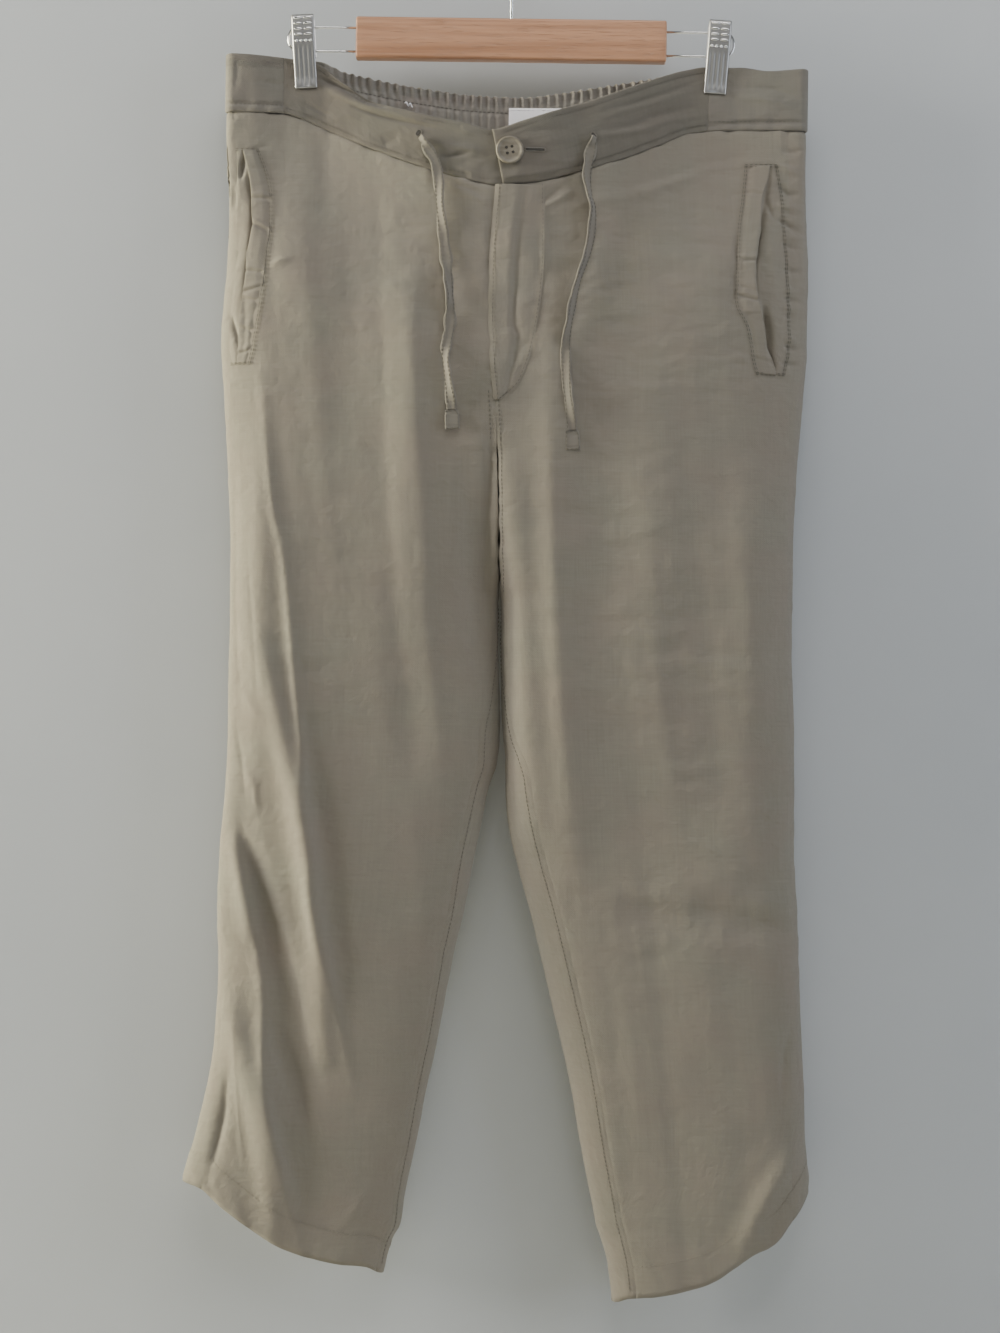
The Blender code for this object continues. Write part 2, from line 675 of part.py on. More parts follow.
def make_front_bands():
    """The two plain front waistband pieces; the left one laps over the right."""
    pieces = {
        "waistband_front_right": ((RIGHT_BAND_SEAM + SEAM_GAP,) * 2, (UNDERLAP_END,) * 2, 16),
        "waistband_front_left": ((-5.0, -14.0), (LEFT_BAND_SEAM - SEAM_GAP,) * 2, 15),
    }
    for name, (start, end, columns) in pieces.items():
        outer_rows, inner_rows = [], []
        for up in samples(3):
            places = [mix(mix(*start, up), mix(*end, up), share) for share in samples(columns)]
            pairs = [
                band_section("front", place, up, band_lift(name, place), BAND_CLOTH) for place in places
            ]
            outer_rows.append([pair[0] for pair in pairs])
            inner_rows.append([pair[1] for pair in pairs])
        lofted_wall(name, outer_rows, inner_rows, LINEN)


def plain_stretch(face, start, end, count, up):
    """Sections of the plain waistband between two places."""
    return [
        band_section(face, mix(start, end, share), up, BAND_PROUD, BAND_CLOTH)
        for share in samples(count)
    ]


def gathered_stretch(up):
    """Sections of the elastic: each gather swells it on both sides."""
    sections = []
    for index in range(2 * GATHER_COUNT + 1):
        place = mix(GATHER_LEFT, GATHER_RIGHT, index / (2 * GATHER_COUNT))
        crest = index % 2
        lift = BAND_PROUD + GATHER_HEIGHT * crest
        cloth = GATHER_THICK if crest else GATHER_THIN
        sections.append(band_section("back", place, up, lift, cloth))
    return sections


def make_back_band():
    """The elastic waistband, which wraps round both sides to the front seams."""
    left_edge = OUTER_EDGE.at("left", LEFT.waist_side) - SIDE_FOLD_RADIUS
    right_edge = SIDE_FOLD_RADIUS - OUTER_EDGE.at("right", RIGHT.waist_side)
    folds = samples(SIDE_FOLD_STEPS)
    clear = SIDE_FOLD_CLEAR
    outer_rows, inner_rows = [], []
    for up in samples(2):
        sections = plain_stretch("front", LEFT_BAND_SEAM + SEAM_GAP, left_edge - clear, 3, up)
        sections += [side_fold_section(LEFT, turned, up) for turned in folds]
        sections += plain_stretch("back", left_edge - clear, GATHER_LEFT + clear, 3, up)
        sections += gathered_stretch(up)
        sections += plain_stretch("back", GATHER_RIGHT - clear, right_edge + clear, 3, up)
        sections += [side_fold_section(RIGHT, turned, up) for turned in reversed(folds)]
        sections += plain_stretch("front", right_edge + clear, RIGHT_BAND_SEAM - SEAM_GAP, 2, up)
        outer_rows.append([pair[0] for pair in sections])
        inner_rows.append([pair[1] for pair in sections])
    lofted_wall("waistband_back", outer_rows, inner_rows, LINEN)


def make_pockets():
    """At each side a pocket's folded edge, and the bag that shows in its mouth."""
    for side, table in (("right", POCKET_RIGHT), ("left", POCKET_LEFT)):
        top, foot = table.keys[-1], table.keys[0]
        edge_rows, bag_rows = [], []
        outward = -1 if side == "right" else 1
        for share in samples(POCKET_ROWS):
            level = mix(top, foot, share)
            mouth, stitching = table.at("mouth", level), table.at("stitching", level)
            bulge = MOUTH_BULGE * math.sin(math.pi * share)
            lifts = [LAID_CLOTH + POCKET_EDGE_LIFT + bulge * part for part in (0, 0.4, 1.0)]
            edge_rows.append([
                laid_point(mix(stitching, mouth, part), level, lift)
                for part, lift in zip((0, 0.55, 1), lifts)
            ])
            far = table.at("bag", level)
            near = mouth + outward * SEAM_GAP
            bag_rows.append([
                laid_point(mix(near, far, part), level, PANEL_CLOTH + POCKET_BAG_LIFT)
                for part in samples(2)
            ])
        laid_wall(f"pocket_edge_{side}", edge_rows, LAID_CLOTH, LINEN)
        laid_wall(f"pocket_bag_{side}", bag_rows, PANEL_CLOTH, LINEN)


def make_fly():
    """The fly's lapped front, bounded by its curved stitching."""
    top, foot = FLY.keys[-1], FLY.keys[0]
    rows = []
    for share in samples(FLY_ROWS):
        level = mix(top, foot, share ** 0.85)
        edge = CENTRE_FRONT.at("place", level) + SEAM_GAP
        far = max(edge + 4, FLY.at("stitching", level))
        rows.append([
            laid_point(mix(edge, far, part), level - SEAM_GAP, LAID_CLOTH + FLY_LIFT)
            for part in samples(4)
        ])
    laid_wall("fly_front", rows, LAID_CLOTH, LINEN)


def cover_depth(place, level):
    """Depth of all that lies on the front near a place, for a cord to lie on."""
    reach = 6.0
    depth = 0.0
    for near in (level - reach, level, level + reach):
        proud = BAND_PROUD if near + reach >= seam_level("front", place) else 0.0
        depth = max(depth, front_depth(place, near) + proud)
    return depth


def tape(name, route, width, thickness):
    """A flat tape that lies on the front along a route."""
    rows = []
    for index, (place, level) in enumerate(route):
        before = route[max(0, index - 1)]
        after = route[min(len(route) - 1, index + 1)]
        along = Vector((after[0] - before[0], after[1] - before[1])).normalized()
        aside = Vector((-along.y, along.x)) * width / 2
        row = []
        for share in (-1, 0, 1):
            x, z = place + aside.x * share, level + aside.y * share
            row.append(Vector((x, -cover_depth(x, z) - CORD_LIFT - thickness, z)))
        rows.append(row)
    return laid_wall(name, rows, thickness, TAPE)


def make_drawcords():
    """The two free ends of the drawcord, each with its folded end."""
    for side, route in CORD_ROUTES.items():
        tape(f"drawcord_{side}", route, CORD_WIDTH, CORD_THICKNESS)
        start, foot = Vector(route[-1]), Vector(CORD_END_FOOT[side])
        head = start + (foot - start).normalized() * (SEAM_GAP + 0.4)
        end_route = [tuple(head.lerp(foot, share)) for share in samples(2)]
        tape(f"drawcord_{side}_end", end_route, CORD_END_WIDTH, CORD_END_THICKNESS)


def make_labels():
    """Two blank labels on the inside of the elastic waistband."""
    for name, (start, end, top, foot) in LABELS.items():
        rows = []
        for up in samples(2):
            row = []
            for share in samples(3):
                place = mix(start, end, share)
                depth = WAIST_DEPTH.at("back", abs(place)) + BAND_PROUD + 0.6 * GATHER_HEIGHT
                depth -= GATHER_THICK + SEAM_GAP + LABEL_CLOTH
                row.append(Vector((place, depth, mix(foot, top, up))))
            rows.append(row)
        laid_wall(name, rows, LABEL_CLOTH, LABEL_WHITE)


def make_button():
    """A rimmed button with four holes, on the waistband's lap."""
    place, level = BUTTON_PLACE
    radius = BUTTON_DIAMETER / 2
    shape = bmesh.new()
    bmesh.ops.create_cone(
        shape, cap_ends=True, segments=24,
        radius1=radius * MM, radius2=radius * MM, depth=BUTTON_THICKNESS * MM,
    )
    front = max(shape.faces, key=lambda face: face.calc_center_median().z)
    bmesh.ops.inset_region(shape, faces=[front], thickness=BUTTON_RIM * MM)
    bmesh.ops.translate(shape, verts=front.verts, vec=(0, 0, -BUTTON_DISH * MM))
    mesh = bpy.data.meshes.new("button")
    shape.to_mesh(mesh)
    shape.free()
    button = new_object("button", mesh, HORN)
    lap = WAIST_DEPTH.at("front", 0) + BAND_PROUD + OVERLAP_LIFT + SEAM_GAP
    depth = lap + BUTTON_THICKNESS / 2
    button.location = Vector((place, -depth, level)) * MM
    button.rotation_euler = (math.pi / 2, 0, 0)
    for index in range(4):
        angle = math.pi / 4 + index * math.pi / 2
        centre = (
            place + BUTTON_HOLE_SPREAD * math.cos(angle), -depth,
            level + BUTTON_HOLE_SPREAD * math.sin(angle),
        )
        hole = rod_cutter(
            f"button_hole_{index}", BUTTON_HOLE_RADIUS, 3 * BUTTON_THICKNESS, centre, (math.pi / 2, 0, 0)
        )
        cut(button, hole)


# ---------------------------------------------------------------- hanger
def make_bar():
    """The wooden bar with softened edges."""
    bpy.ops.mesh.primitive_cube_add(size=1.0)
    bar = bpy.context.object
    bar.name = "hanger_bar"
    bar.data.name = "hanger_bar"
    for vertex in bar.data.vertices:
        vertex.co.x *= BAR_LENGTH * MM
        vertex.co.y *= BAR_DEPTH * MM
        vertex.co.z *= BAR_HEIGHT * MM
    bar.location = (0, 0, (BAR_TOP - BAR_HEIGHT / 2) * MM)
    for collection in list(bar.users_collection):
        collection.objects.unlink(bar)
    GARMENT.objects.link(bar)
    bar.data.materials.append(WOOD)
    soften = bar.modifiers.new("edges", "BEVEL")
    soften.width = BAR_EDGE * MM
    soften.segments = 2


def make_hook():
    """A question-mark hook whose arc rests on the rail at the origin."""
    radius = HOOK_INNER_RADIUS + HOOK_WIRE / 2
    centre = -HOOK_INNER_RADIUS
    stem = [(place, 0, BAR_TOP + SEAM_GAP + height) for place, height in HOOK_STEM]
    arc = []
    for share in samples(26):
        angle = HOOK_ARC_START + HOOK_ARC_SWEEP * share
        arc.append((radius * math.cos(angle), 0, centre + radius * math.sin(angle)))
    wire("hanger_hook", stem + arc, HOOK_WIRE, STEEL)


def make_loops():
    """Wire loops that stand out of the bar's ends and carry the clips."""
    radius = (LOOP_UPPER - LOOP_LOWER) / 2
    middle = (LOOP_UPPER + LOOP_LOWER) / 2
    turn = LOOP_END - LOOP_WIRE / 2 - radius
    for side, sign in (("right", -1), ("left", 1)):
        root = BAR_LENGTH / 2 + SEAM_GAP
        route = [(sign * root, 0, LOOP_UPPER)]
        for share in samples(12):
            angle = math.pi / 2 - math.pi * share
            route.append((sign * (turn + radius * math.cos(angle)), 0, middle + radius * math.sin(angle)))
        route.append((sign * root, 0, LOOP_LOWER))
        wire(f"hanger_loop_{side}", route, LOOP_WIRE, STEEL)


def make_clips():
    """Pressed steel clips: a front jaw whose lugs hold the narrower back jaw's."""
    middle = (LOOP_UPPER + LOOP_LOWER) / 2
    for side, sign in (("right", -1), ("left", 1)):
        for jaw, facing, width in (
            ("front", -1, CLIP_WIDTH),
            ("back", 1, CLIP_WIDTH - 2 * CLIP_STEEL - 2 * SEAM_GAP),
        ):
            lug = [(LUG_FRONT, LUG_BOTTOM), (-LUG_BACK, LUG_BOTTOM), (-LUG_BACK, LUG_TOP)]
            outline = JAW_OUTSIDE + JAW_INSIDE[:3] + lug + JAW_INSIDE[-1:]
            room = JAW_INSIDE[1:] + [
                (JAW_INSIDE[-1][0], ROOM_TOP), (-ROOM_BACK, ROOM_TOP), (-ROOM_BACK, JAW_INSIDE[1][1])
            ]
            name = f"clip_{jaw}_jaw_{side}"
            solid = extruded(name, [(facing * y, z - middle) for y, z in outline], width, STEEL)
            hollow = extruded(
                f"{name}_room", [(facing * y, z - middle) for y, z in room], width - 2 * CLIP_STEEL
            )
            slot = [
                (-JAW_SLOT, LOOP_LOWER - JAW_SLOT), (JAW_SLOT, LOOP_LOWER - JAW_SLOT),
                (JAW_SLOT, LOOP_UPPER + JAW_SLOT), (-JAW_SLOT, LOOP_UPPER + JAW_SLOT),
            ]
            passage = extruded(f"{name}_slot", [(y, z - middle) for y, z in slot], width + 4)
            for cutter in (hollow, passage):
                cutter.parent = solid
                cut(solid, cutter)
            solid.location = (sign * CLIP_PLACE * MM, 0, middle * MM)
            solid.rotation_euler = (0, sign * CLIP_TILT, 0)


# ---------------------------------------------------------------- build
for old in list(bpy.data.objects):
    bpy.data.objects.remove(old)

GARMENT = bpy.data.collections.new("linen_trousers_on_hanger")
CUTTERS = bpy.data.collections.new("cutters")
bpy.context.scene.collection.children.link(GARMENT)
bpy.context.scene.collection.children.link(CUTTERS)

LINEN = plain_material("linen", (0.27, 0.245, 0.19), 0.9)
TAPE = plain_material("linen_tape", (0.25, 0.23, 0.175), 0.9)
HORN = plain_material("button_horn", (0.20, 0.175, 0.13), 0.45)
LABEL_WHITE = plain_material("label_white", (0.85, 0.85, 0.85), 0.7)
WOOD = plain_material("bar_wood", (0.50, 0.27, 0.14), 0.5)
STEEL = plain_material("steel", (0.75, 0.75, 0.75), 0.25, 1.0)

make_panels()
make_front_bands()
make_back_band()
make_pockets()
make_fly()
make_drawcords()
make_labels()
make_button()
make_bar()
make_hook()
make_loops()
make_clips()
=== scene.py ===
"""Looks of the linen drawstring trousers that hang from a wooden clip hanger.

Left and right are the wearer's, so the wearer's right leg is at -X, and -Y is
the front.  Sizes are in millimetres up to the point where a mesh is made,
which is in metres.  The cloth is a computed surface that every sewn piece
lies on; creases, puckers and ripples are added to it along its normals.
"""

import logging
import math
from dataclasses import dataclass, field
from enum import Enum
from typing import Sequence, Union

import bmesh
import bpy
import numpy as np
from bpy.types import Material, Mesh, Node, NodeSocket, NodeTree
from bpy.types import Object as Thing
from mathutils import Matrix, Vector


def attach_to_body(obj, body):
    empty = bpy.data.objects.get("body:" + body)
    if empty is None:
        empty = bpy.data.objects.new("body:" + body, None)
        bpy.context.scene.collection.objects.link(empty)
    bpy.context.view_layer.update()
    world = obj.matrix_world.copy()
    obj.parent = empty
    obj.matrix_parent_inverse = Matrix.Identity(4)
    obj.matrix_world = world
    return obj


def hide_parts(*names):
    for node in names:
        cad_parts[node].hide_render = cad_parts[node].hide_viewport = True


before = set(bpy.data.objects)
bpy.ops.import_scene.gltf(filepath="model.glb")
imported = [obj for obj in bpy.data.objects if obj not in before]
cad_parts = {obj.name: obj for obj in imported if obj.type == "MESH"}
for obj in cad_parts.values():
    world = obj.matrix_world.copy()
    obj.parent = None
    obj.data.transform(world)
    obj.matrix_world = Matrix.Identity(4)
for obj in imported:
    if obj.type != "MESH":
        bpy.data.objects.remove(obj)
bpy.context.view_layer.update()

LOG = logging.getLogger("trousers")
Array = np.ndarray
Number = Union[float, Array]
Point = Sequence[float]
Colour = tuple[float, float, float]
MM = 0.001

# Sizes
BAND_CLOTH = 2.6          # the waistband is cloth, stiffening and cloth
BAND_PROUD = 0.9          # its face stands out this far from the panels'
OVERLAP_LIFT = 2.9
CROTCH_LEVEL = -538.0
BACK_WAIST_LEVEL = -180.0
CROTCH_SHARE = 0.44
BACK_START = 1.0 + 1e-6   # just past a leg's inner edge, on the back
WAIST_FADE = 0.20
SIDE_FOLD_RADIUS = 6.0
RIGHT_BAND_SEAM = -181.0
LEFT_BAND_SEAM = 158.0
UNDERLAP_END = 28.0
RAMP_END = 60.0
GATHER_LEFT = 152.0       # the elastic's gathers run between these places
GATHER_RIGHT = -148.0
GATHER_COUNT = 44
BACK_FOLD_PITCH = 33.0
BACK_FOLD_HEIGHT = 4.5
BACK_FOLD_FADE = 0.36
BAR_LENGTH, BAR_DEPTH, BAR_HEIGHT = 248.0, 13.0, 33.0
BAR_TOP = -75.0
LOOP_WIRE = 2.0
LOOP_UPPER, LOOP_LOWER = -83.0, -102.0
LOOP_END = 179.0
HOOK_WIRE = 2.6
HOOK_INNER_RADIUS = 17.0
HOOK_STEM = [(0, -4), (0, 0), (0, 9), (0, 17), (1, 23), (5, 31), (11, 39)]
HOOK_ARC_START, HOOK_ARC_SWEEP = math.radians(-38), math.radians(242)
CLIP_PLACE = 165.5
CLIP_WIDTH = 18.0
CLIP_TILT = math.radians(3.5)
BUTTON_DIAMETER, BUTTON_THICKNESS = 22.0, 3.2
BUTTON_PLACE = (0.0, -185.0)
CORD_WIDTH, CORD_THICKNESS, CORD_LIFT = 8.8, 2.4, 0.5
BODY_SQUARENESS = 4.0


class Face(Enum):
    """The side of the trousers that a piece of cloth belongs to."""

    FRONT = "front"
    BACK = "back"


FRONT, BACK = Face


class Hold(Enum):
    """How a sheet of cloth is held."""

    HUNG = "hung"
    GATHERED = "gathered"
    FOLDED = "folded"


class Table:
    """A short table with named columns, read smoothly between rows by its first column."""

    def __init__(self, names: str, rows: Sequence[Point]) -> None:
        """Keep the rows in the order of their first column."""
        self.names = names.split()
        self.rows = np.array(sorted(rows), dtype=float)
        self.keys = self.rows[:, 0]

    def at(self, name: str, place: Number) -> Array:
        """Read a column without overshoot between rows.

        Args:
            name: The column's name.
            place: Values of the first column.

        Returns:
            The named column's values there.
        """
        keys, column = self.keys, self.rows[:, self.names.index(name)]
        slopes = np.diff(column) / np.diff(keys)
        before, after = slopes[:-1], slopes[1:]
        even = np.where(before * after > 0, before + after, 1.0)
        inner = np.where(before * after > 0, 2 * before * after / np.where(even == 0, 1, even), 0.0)
        tangents = np.concatenate([[0.0], inner, [0.0]])
        place = np.clip(place, keys[0], keys[-1])
        low = np.clip(np.searchsorted(keys, place, side="right") - 1, 0, len(keys) - 2)
        step = np.diff(keys)[low]
        share = (place - keys[low]) / step
        return (
            column[low] * (1 + 2 * share) * (1 - share) ** 2
            + tangents[low] * step * share * (1 - share) ** 2
            + column[low + 1] * share**2 * (3 - 2 * share)
            - tangents[low + 1] * step * share**2 * (1 - share)
        )


@dataclass(frozen=True)
class Fold:
    """A soft fold that the solids have too: a crest, or a trough if its height is negative."""

    face: str
    top_x: float
    top_z: float
    foot_x: float
    foot_z: float
    bow: float
    width: float
    height: float

    def relief(self, place: Array, level: Array) -> Array:
        """The fold's height at places on its face."""
        run = np.array([self.foot_x - self.top_x, self.foot_z - self.top_z])
        length = float(np.hypot(*run))
        offset_x, offset_z = place - self.top_x, level - self.top_z
        along = (offset_x * run[0] + offset_z * run[1]) / length**2
        aside = (offset_x * run[1] - offset_z * run[0]) / length - 4 * self.bow * along * (1 - along)
        fade = np.sin(np.pi * np.clip(along, 0, 1)) ** 0.7
        return self.height * fade * np.exp(-((aside / self.width) ** 2))


# Distance of the hanging cloth's outer edge from the centre line, by level.
OUTER_EDGE = Table("level right left", [
    (-100, 227, 233), (-130, 227, 236), (-160, 227, 237), (-220, 224, 238),
    (-280, 225, 240), (-335, 228, 240), (-382, 225, 237), (-440, 222, 233),
    (-510, 219, 231), (-575, 219, 231), (-640, 219, 234), (-690, 220, 235),
    (-735, 224, 235), (-780, 225, 238), (-840, 224, 241), (-890, 226, 244),
    (-926, 231, 246), (-962, 239, 247), (-1008, 250, 250),
])
# Place of each leg's inner edge, from the crotch down.
INNER_EDGE = Table("level right left", [
    (-538, -3.3, -2.7), (-590, -2.6, -1.6), (-640, -1.4, 0.6), (-666, -3, 3.5),
    (-691, -10, 4), (-722, -16, 7.5), (-754, -22, 15), (-785, -27, 24),
    (-824, -36, 34), (-857, -42, 42), (-885, -47, 49), (-930, -56, 59),
    (-979, -65, 68), (-1015, -72, 76), (-1038, -75, 81), (-1052, -82, 86),
    (-1077, -88, 92), (-1097, -92, 94),
])
# The centre front seam bends under the fly.
CENTRE_FRONT = Table("level place", [
    (-211, -10), (-240, -12), (-275, -14), (-313, -14), (-355, -12),
    (-382, -9), (-440, -6), (-500, -4), (-538, -3),
])
# How far each face stands from the middle plane, by the level at the inner edge.
FACE_DEPTH = Table("level front back", [
    (-180, 23, 20), (-260, 26, 25), (-320, 29, 31), (-380, 30, 35), (-440, 29, 36),
    (-500, 28, 34), (-560, 27, 31), (-650, 25, 28), (-750, 23, 25), (-850, 22, 23),
    (-950, 21, 22), (-1080, 20, 21),
])
# How far the two faces have closed on each other at the centre seam.
CLOSING = Table("level front back", [
    (-538, 1, 1), (-525, 0.80, 0.85), (-505, 0.55, 0.58), (-480, 0.32, 0.33),
    (-450, 0.15, 0.14), (-415, 0.05, 0.04), (-370, 0, 0),
])
# Depth of the flat waist, pinched at the clips and bowed between them.
WAIST_DEPTH = Table("place front back", [
    (0, 22, 15), (60, 18.5, 13), (108, 10.5, 8.5), (134, 5, 5), (150, 2, 2),
    (177, 2, 2), (190, 3.6, 3.6), (208, 5.4, 5.4), (240, 6, 6),
])
# Share of a row's drop reached across it, from the outer edge to the inner.
WAIST_DROP = Table("across right left", [
    (0, 0, 0), (0.20, 0, 0), (0.27, 0.06, 0), (0.37, 0.22, 0.05), (0.48, 0.40, 0.28),
    (0.60, 0.58, 0.53), (0.75, 0.78, 0.78), (0.87, 0.91, 0.93), (1, 1, 1),
])
HEM_DROP = Table("across right left", [
    (0, 0, 0), (0.05, 0.02, 0.13), (0.10, 0.05, 0.25), (0.18, 0.20, 0.43),
    (0.29, 0.38, 0.53), (0.38, 0.52, 0.64), (0.50, 0.68, 0.78), (0.64, 0.79, 0.86),
    (0.78, 0.86, 0.91), (0.91, 0.90, 0.94), (1, 1, 1),
])
# Upper edge of the waistband across the body.
BAND_TOP = Table("place front back", [
    (-227, -106, -106), (-200, -107, -107), (-176, -109, -109), (-154, -113, -110),
    (-135, -127, -117), (-110, -144, -122), (-85, -151, -126), (-61, -157, -129),
    (-36, -162, -132), (-13, -168, -133), (8, -161.5, -133.5), (39, -151, -130),
    (71, -140, -125), (111, -124, -119), (140, -114, -114), (155, -111, -111),
    (183, -111, -111), (205, -114, -114), (236, -112, -112),
])
# How far the seams lie in from the silhouette, on the front.
OUTSEAM_INSET = Table("level right left", [
    (-150, 7, 15), (-350, 7, 14), (-430, 5, 8), (-560, 4, 5), (-880, 5, 4),
    (-926, 9, 6), (-955, 18, 12), (-1008, 17, 14),
])
INSEAM_INSET = Table("level right left", [
    (-538, 0, 0), (-560, 2, 0.6), (-590, 6, 1.5), (-620, 11, 6), (-650, 16, 10),
    (-686, 13, 20), (-740, 13.5, 23), (-860, 10.5, 23), (-1015, 8, 21),
    (-1077, 6, 19),
])
# Exponent of each leg's rounded section: higher is squarer.
LEG_SQUARENESS = {"right": 3.2, "left": 5.0}

# Soft folds of the cloth: a crest (or a trough, if its height is negative)
# runs from its top to its foot and bows sideways in between.
FOLDS = [Fold(face, *row) for face, rows in {
    "front": (
        (-80, -255, -76, -640, 3, 20, 4.0), (-127, -175, -125, -440, 0, 20, -4.0),
        (-193, -365, -190, -705, 3, 15, 4.5), (-196, -560, -134, -915, -10, 10, 8.0),
        (-215, -700, -146, -950, -4, 12, -7.0), (-216, -725, -196, -815, -3, 8, 5.0),
        (-221, -850, -172, -1055, -8, 11, 7.0), (-187, -850, -152, -960, 0, 10, -4.5),
        (5, -420, 31, -740, 3, 13, 6.0), (-30, -420, -14, -600, 0, 14, -5.0),
        (92, -781, 178, -793, 4, 9, -2.5), (150, -779, 236, -803, 4, 9, -3.0),
        (243, -965, 192, -1062, 4, 10, 4.0), (155, -190, 25, -232, -8, 9, 2.5),
        (120, -330, 128, -700, 5, 26, 3.0), (190, -420, 196, -760, -4, 18, 3.5),
    ),
    "back": (
        (-150, -330, -120, -720, 8, 22, 5.0), (140, -330, 118, -760, -8, 22, 5.0),
        (-60, -470, -95, -690, -6, 16, -4.0), (60, -470, 92, -690, 6, 16, -4.0),
        (-205, -760, -120, -800, 4, 11, -4.0), (210, -780, 115, -815, 4, 11, -4.0),
        (-190, -830, -160, -1040, -6, 14, 5.0), (190, -840, 165, -1060, 6, 14, 4.0),
    ),
}.items() for row in rows]

# Side pockets: the edge of the mouth, the stitched line beside it and the far
# edge of the pocket bag, by level, on the front of each half.
POCKET_RIGHT = Table("level mouth stitching bag", [
    (-178, -213, -197.5, -217.5), (-198, -208.5, -193, -217), (-222, -204.5, -189.5, -217),
    (-245, -203.5, -189, -217.5), (-267, -206.5, -191, -217.5), (-289, -208, -193, -218),
    (-319, -211.5, -197, -219.5), (-343, -213, -201, -219.5), (-355, -213.5, -203.5, -218),
])
POCKET_LEFT = Table("level mouth stitching bag", [
    (-176, 208.5, 189.5, 210.5), (-197, 207, 188.5, 213), (-214, 202, 187, 216),
    (-241, 200, 183.5, 218), (-268, 196.5, 182, 220), (-285, 195.5, 181.5, 221),
    (-302, 198.5, 180.5, 222), (-318, 203, 188.5, 222.5), (-335, 205, 193, 222.5),
    (-350, 211, 195.5, 220.5), (-358, 213, 198, 219),
])

# The fly's free edge lies over the centre front seam; its other side is the
# curved line of stitching.
FLY = Table("level stitching", [
    (-382, -4), (-377, 4), (-366, 11), (-348, 18), (-325, 23), (-300, 26.5),
    (-272, 28.5), (-235, 28.5), (-211, 27.5),
])

# Routes of the two free drawcord ends, from eyelet to end.
CORD_ROUTES = {
    "right": [
        (-73, -171), (-66, -182), (-59, -194), (-56, -209), (-54, -230), (-51, -257), (-47, -288),
        (-45, -319), (-48, -344), (-46, -364), (-44, -380), (-43, -391),
    ],
    "left": [
        (67, -172), (63, -188), (61, -204), (63, -219), (66, -230), (65, -250), (61, -269),
        (54, -290), (49, -316), (46, -337), (47, -365), (50, -389), (52, -406),
    ],
}
CORD_END_FOOT = {"right": (-42, -406), "left": (53, -421)}

LABELS = {
    "label_main": (-1.0, 26.0, -142.5, -174.0),
    "label_size": (28.0, 43.0, -142.5, -158.0),
}


# Arithmetic
def mix(start: Number, end: Number, share: Number) -> Number:
    """A value part of the way from start to end."""
    return start + (end - start) * share


def smooth(share: Number) -> Array:
    """Ease from 0 to 1, flat at both ends."""
    share = np.clip(share, 0.0, 1.0)
    return share * share * (3 - 2 * share)


def bump(value: Number, centre: float, width: float) -> Array:
    """A bell of height 1 about a centre."""
    return np.exp(-(((value - centre) / width) ** 2))


def joined(*columns: Number) -> Array:
    """Coordinates side by side, on a new last axis."""
    return np.stack(np.broadcast_arrays(*columns), axis=-1)


def unit(vectors: Array) -> Array:
    """Vectors of length 1."""
    return vectors / np.maximum(np.linalg.norm(vectors, axis=-1, keepdims=True), 1e-9)


def run_lengths(points: Array, axis: int) -> Array:
    """Distances run so far along one axis of a grid of points."""
    steps = np.linalg.norm(np.diff(points, axis=axis), axis=-1)
    start = np.zeros_like(np.take(points[..., 0], [0], axis=axis))
    return np.concatenate([start, np.cumsum(steps, axis=axis)], axis=axis)


def flowing(route: Sequence[Point], steps: int) -> Array:
    """Points on a smooth curve through a route.

    Args:
        route: The points that the curve passes.
        steps: Steps between two of them.

    Returns:
        The curve's points, one to a row.
    """
    points = np.array(route, dtype=float)
    padded = np.concatenate([2 * points[:1] - points[1:2], points, 2 * points[-1:] - points[-2:-1]])
    shares = np.arange(steps)[:, None] / steps
    parts = []
    for first, start, end, last in zip(padded, padded[1:], padded[2:], padded[3:]):
        parts.append(
            0.5 * (
                2 * start + (end - first) * shares
                + (2 * first - 5 * start + 4 * end - last) * shares**2
                + (3 * start - first - 3 * end + last) * shares**3
            )
        )
    return np.concatenate(parts + [points[-1:]])


def evenly(points: Array, count: int) -> Array:
    """Resample a curve to count even steps."""
    lengths = run_lengths(points, 0)
    wanted = np.linspace(0, lengths[-1], count + 1)
    return np.stack([np.interp(wanted, lengths, column) for column in points.T], axis=-1)


def rim_shares(length: float, count: int, cloth: float) -> Array:
    """Shares along a length, crowded at both ends where an edge is rounded."""
    rim = cloth / 2 / length
    ends = np.array([0.0, 0.07, 0.28, 0.62]) * rim
    return np.concatenate([ends, np.linspace(rim, 1 - rim, count + 1), 1 - ends[::-1]])


class Ripple:
    """Smooth seeded noise between -1 and 1."""

    SIZE = 64

    def __init__(self, seed: int) -> None:
        """Draw the noise's lattice."""
        self.lattice = np.random.default_rng(seed).uniform(-1, 1, (self.SIZE, self.SIZE))

    def at(self, across: Number, along: Number = 0.0) -> Array:
        """The noise at places given in steps of its lattice."""
        across, along = np.broadcast_arrays(np.asarray(across, float), np.asarray(along, float))
        column, row = np.floor(across).astype(int), np.floor(along).astype(int)
        x, z = smooth(across - column), smooth(along - row)

        def corner(right: int, up: int) -> Array:
            """A lattice value."""
            return self.lattice[(column + right) % self.SIZE, (row + up) % self.SIZE]

        return mix(mix(corner(0, 0), corner(1, 0), x), mix(corner(0, 1), corner(1, 1), x), z)


# Cloth surface
def fold_height(face: Face, place: Array, level: Array) -> Array:
    """Sum of the soft folds' heights at places on a face."""
    return sum(fold.relief(place, level) for fold in FOLDS if fold.face == face.value)


